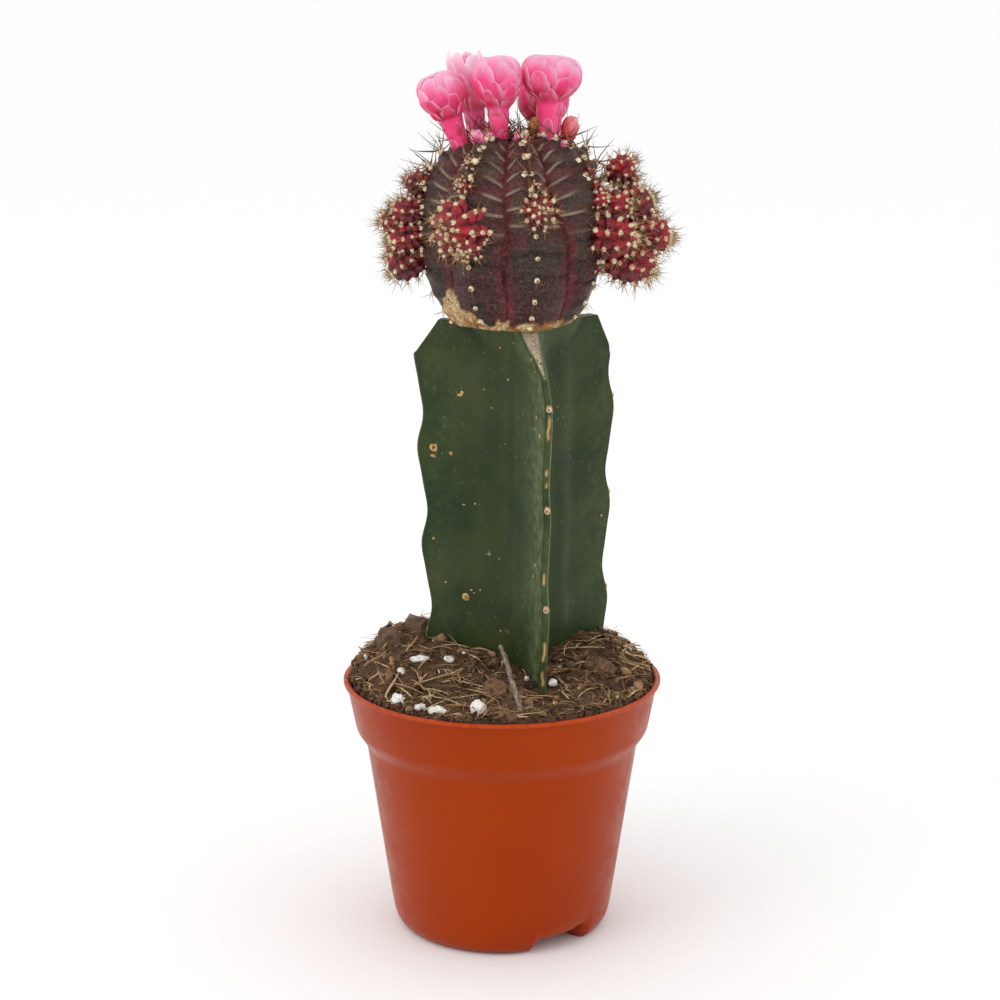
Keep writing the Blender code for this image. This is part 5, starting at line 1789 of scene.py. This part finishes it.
# %% Petal finish
def petal_material(name, deep, middle, pale, rim):
    """Three tones from foot to tip (the deep foot partly painted shade), then veins, clouds, sides and rim
    (partly painted highlight), heart and a few scabs.
    """
    petal = Finish(name, Roughness=0.5, IOR=1.4, Specular_IOR_Level=0.2, Subsurface_Weight=0.28,
                   Subsurface_Scale=0.0015)
    edge, tip, tone = (petal.stored(key) for key in ("edge", "tip", "tone"))
    own = {0: petal.times(edge, 9), 1: petal.times(tip, 1.2), 2: petal.times(tone, 37)}
    veins = petal.mottled(1.3, 0.35, 0.68, petal.node("CombineXYZ", own))
    level = petal.calc("ADD", petal.times(tip, 0.6), petal.times(tone, 0.55))
    # partly painted shade: deep at each petal's foot, where the next petal's rim shades it
    petal.skin = petal.blend(petal.scaled(level, 0.28, 0.82), deep, middle)
    petal.over(petal.scaled(level, 0.66, 1.08), 1, pale)
    petal.over(petal.scaled(tip, 0.42, 0.16), 0.85, middle)
    petal.over(veins, 0.18, middle)
    petal.over(petal.mottled(240, 0.4, 0.7), 0.2, pale)
    # partly painted highlight: paler towards the lit edges
    petal.over(petal.times(petal.scaled(edge, 0.35, 1), petal.scaled(tip, 0.25, 0.8)), 0.5, pale)
    petal.over(petal.times(petal.scaled(edge, 0.55, 0), petal.scaled(tip, 1, 0.55)), 0.3, middle)
    # partly painted highlight: a pale line on the thin rim, as if lit through
    border = petal.calc("MAXIMUM", petal.scaled(edge, 0.84, 0.97), petal.scaled(tip, 0.93, 1))
    petal.over(petal.times(border, petal.scaled(tip, 0.15, 0.6)), 0.5, rim)
    petal.over(petal.flecked(230, 0.3, 0.10), 0.75, (224, 170, 96))
    fine = petal.group(GRAIN, Scale=2200, Coarse=0.8)
    ridges = petal.calc("ADD", veins, petal.times(fine, 0.4))
    return petal.done(petal.scaled(fine, 0.5, 1.4, 0.42, 0.62), ridges, 0.2, 0.1 * MM)


PINK = petal_material("pink_petal", (208, 20, 58), (250, 72, 132), (255, 184, 212), (255, 190, 208))
PALE = petal_material("pale_petal", (228, 38, 94), (249, 116, 168), (255, 222, 234), (255, 240, 246))
SALMON = petal_material("salmon_petal", (206, 42, 62), (238, 100, 112), (248, 166, 166), (252, 200, 196))
INSIDE_ROWS = 30


def add_flower(name, body, radius, tube, counts, material, rng, openness, detail):
    """The body in the node's place, and its petals in a piece of their own."""
    columns = 2 * detail[1] + 8
    inside = body_rings(body, INSIDE_ROWS, columns)
    along = np.linspace(0, 0.5, INSIDE_ROWS)[:, None]
    rings, values = join(dress(body, radius, tube, counts, rng, openness, detail))
    ringed(name + "_body", inside, material, {"edge": 0.3, "tip": along, "tone": 1}, [name])
    ringed(name + "_petals", rings, material, values)


def add_flowers():
    """The five large flowers. The left one's tube bows the other way."""
    rng = np.random.default_rng(31)
    for name, foot, middle, radius, length, tube, narrow, openness in FLOWERS:
        low = np.array([foot[0] * MM, foot[1] * MM, FLOWER_FOOT])
        bow = -1.1 * MM if name == "flower_left" else 0.4 * MM
        bulb = np.array([radius, length, tube, narrow]) * MM - [PETALS_STAND, 0, 0, 0]
        body = Body(low, np.array(middle) * MM, *bulb, openness, bow)
        material = PALE if openness else PINK
        add_flower(name, body, radius * MM, tube * MM, (7, 6, 7, 6, 6, 7), material, rng, openness, (13, 7))


add_flowers()


# %% [markdown]
# ### Buds
# The buds are the same plant organ at an earlier age, so the same functions make them with fewer and
# smaller petals. One flower has withered into a crumpled brown knob on a short stalk.

# %% Buds, a small flower and a dried one
BUDS = (  # node, bulb's middle, radius, length in mm
    ("bud_left_outer", (-6.2, -9.2, 213.5), 1.7, 3.2), ("bud_left_inner", (-3.8, -10.2, 213.2), 1.8, 3.2),
    ("bud_centre", (4.9, -8.6, 212.9), 1.9, 3.8), ("bud_right", (15.6, -6.4, 211), 1.2, 2.8),
    ("small_flower", (17.2, 0.5, 214.4), 2.1, 5.2), ("bud_back", (0.6, 9.6, 213), 1.7, 4),
)


def bud_body(middle, radius, length):
    """A small body that leans a little away from the globe's axis."""
    middle = np.array(middle) * MM
    axis = unit([0, 0, 1] + 0.35 * unit((middle - SCION_AXIS) * [1, 1, 0]))
    sizes = radius * 0.88 * MM, length * MM, radius * 0.55 * MM, radius * 0.5 * MM
    return Body(middle - axis * length * MM, middle, *sizes, 0)


def add_buds():
    """Closed buds, and one small flower that is half open."""
    rng = np.random.default_rng(37)
    for name, middle, radius, length in BUDS:
        material, openness = (SALMON, 0.5) if name == "small_flower" else (PINK, 0)
        body, tube, counts = bud_body(middle, radius, length), radius * 0.55 * MM, (2, 4, 5, 4, 0, 4)
        add_flower(name, body, radius * MM, tube, counts, material, rng, openness, (9, 4))


def add_dried_flower():
    """A rough knob at the end of a thin stalk."""
    stalk = bud_body((8.2, -3.6, 215.9), 1.35, 5.6)
    path = stalk.foot + stalk.axis * (np.linspace(0, 1, 12)[:, None] * stalk.reach)
    radius = 0.42 * MM * (1 + 0.2 * noise(path, 1.2 * MM, seed=141))
    ringed("dried_stalk", tubes(path[None], radius[None], sides=8), CHIP, {"tone": 0.6})
    axes = np.stack([stalk.side, stalk.up, stalk.axis])[None]
    knob = lumps([path[-1]], [[1.75 * MM, 1.6 * MM, 2 * MM]], axes, 40, 44, 0.5, 0.5, 142, octaves=3)
    ringed("dried_flower", knob, DRY, {"tone": 0.7}, ["dried_bud"])


DRY = litter_material("dry_flower", (108, 66, 34), (182, 124, 66), (220, 174, 106), 600, 0.25)
add_buds()
add_dried_flower()
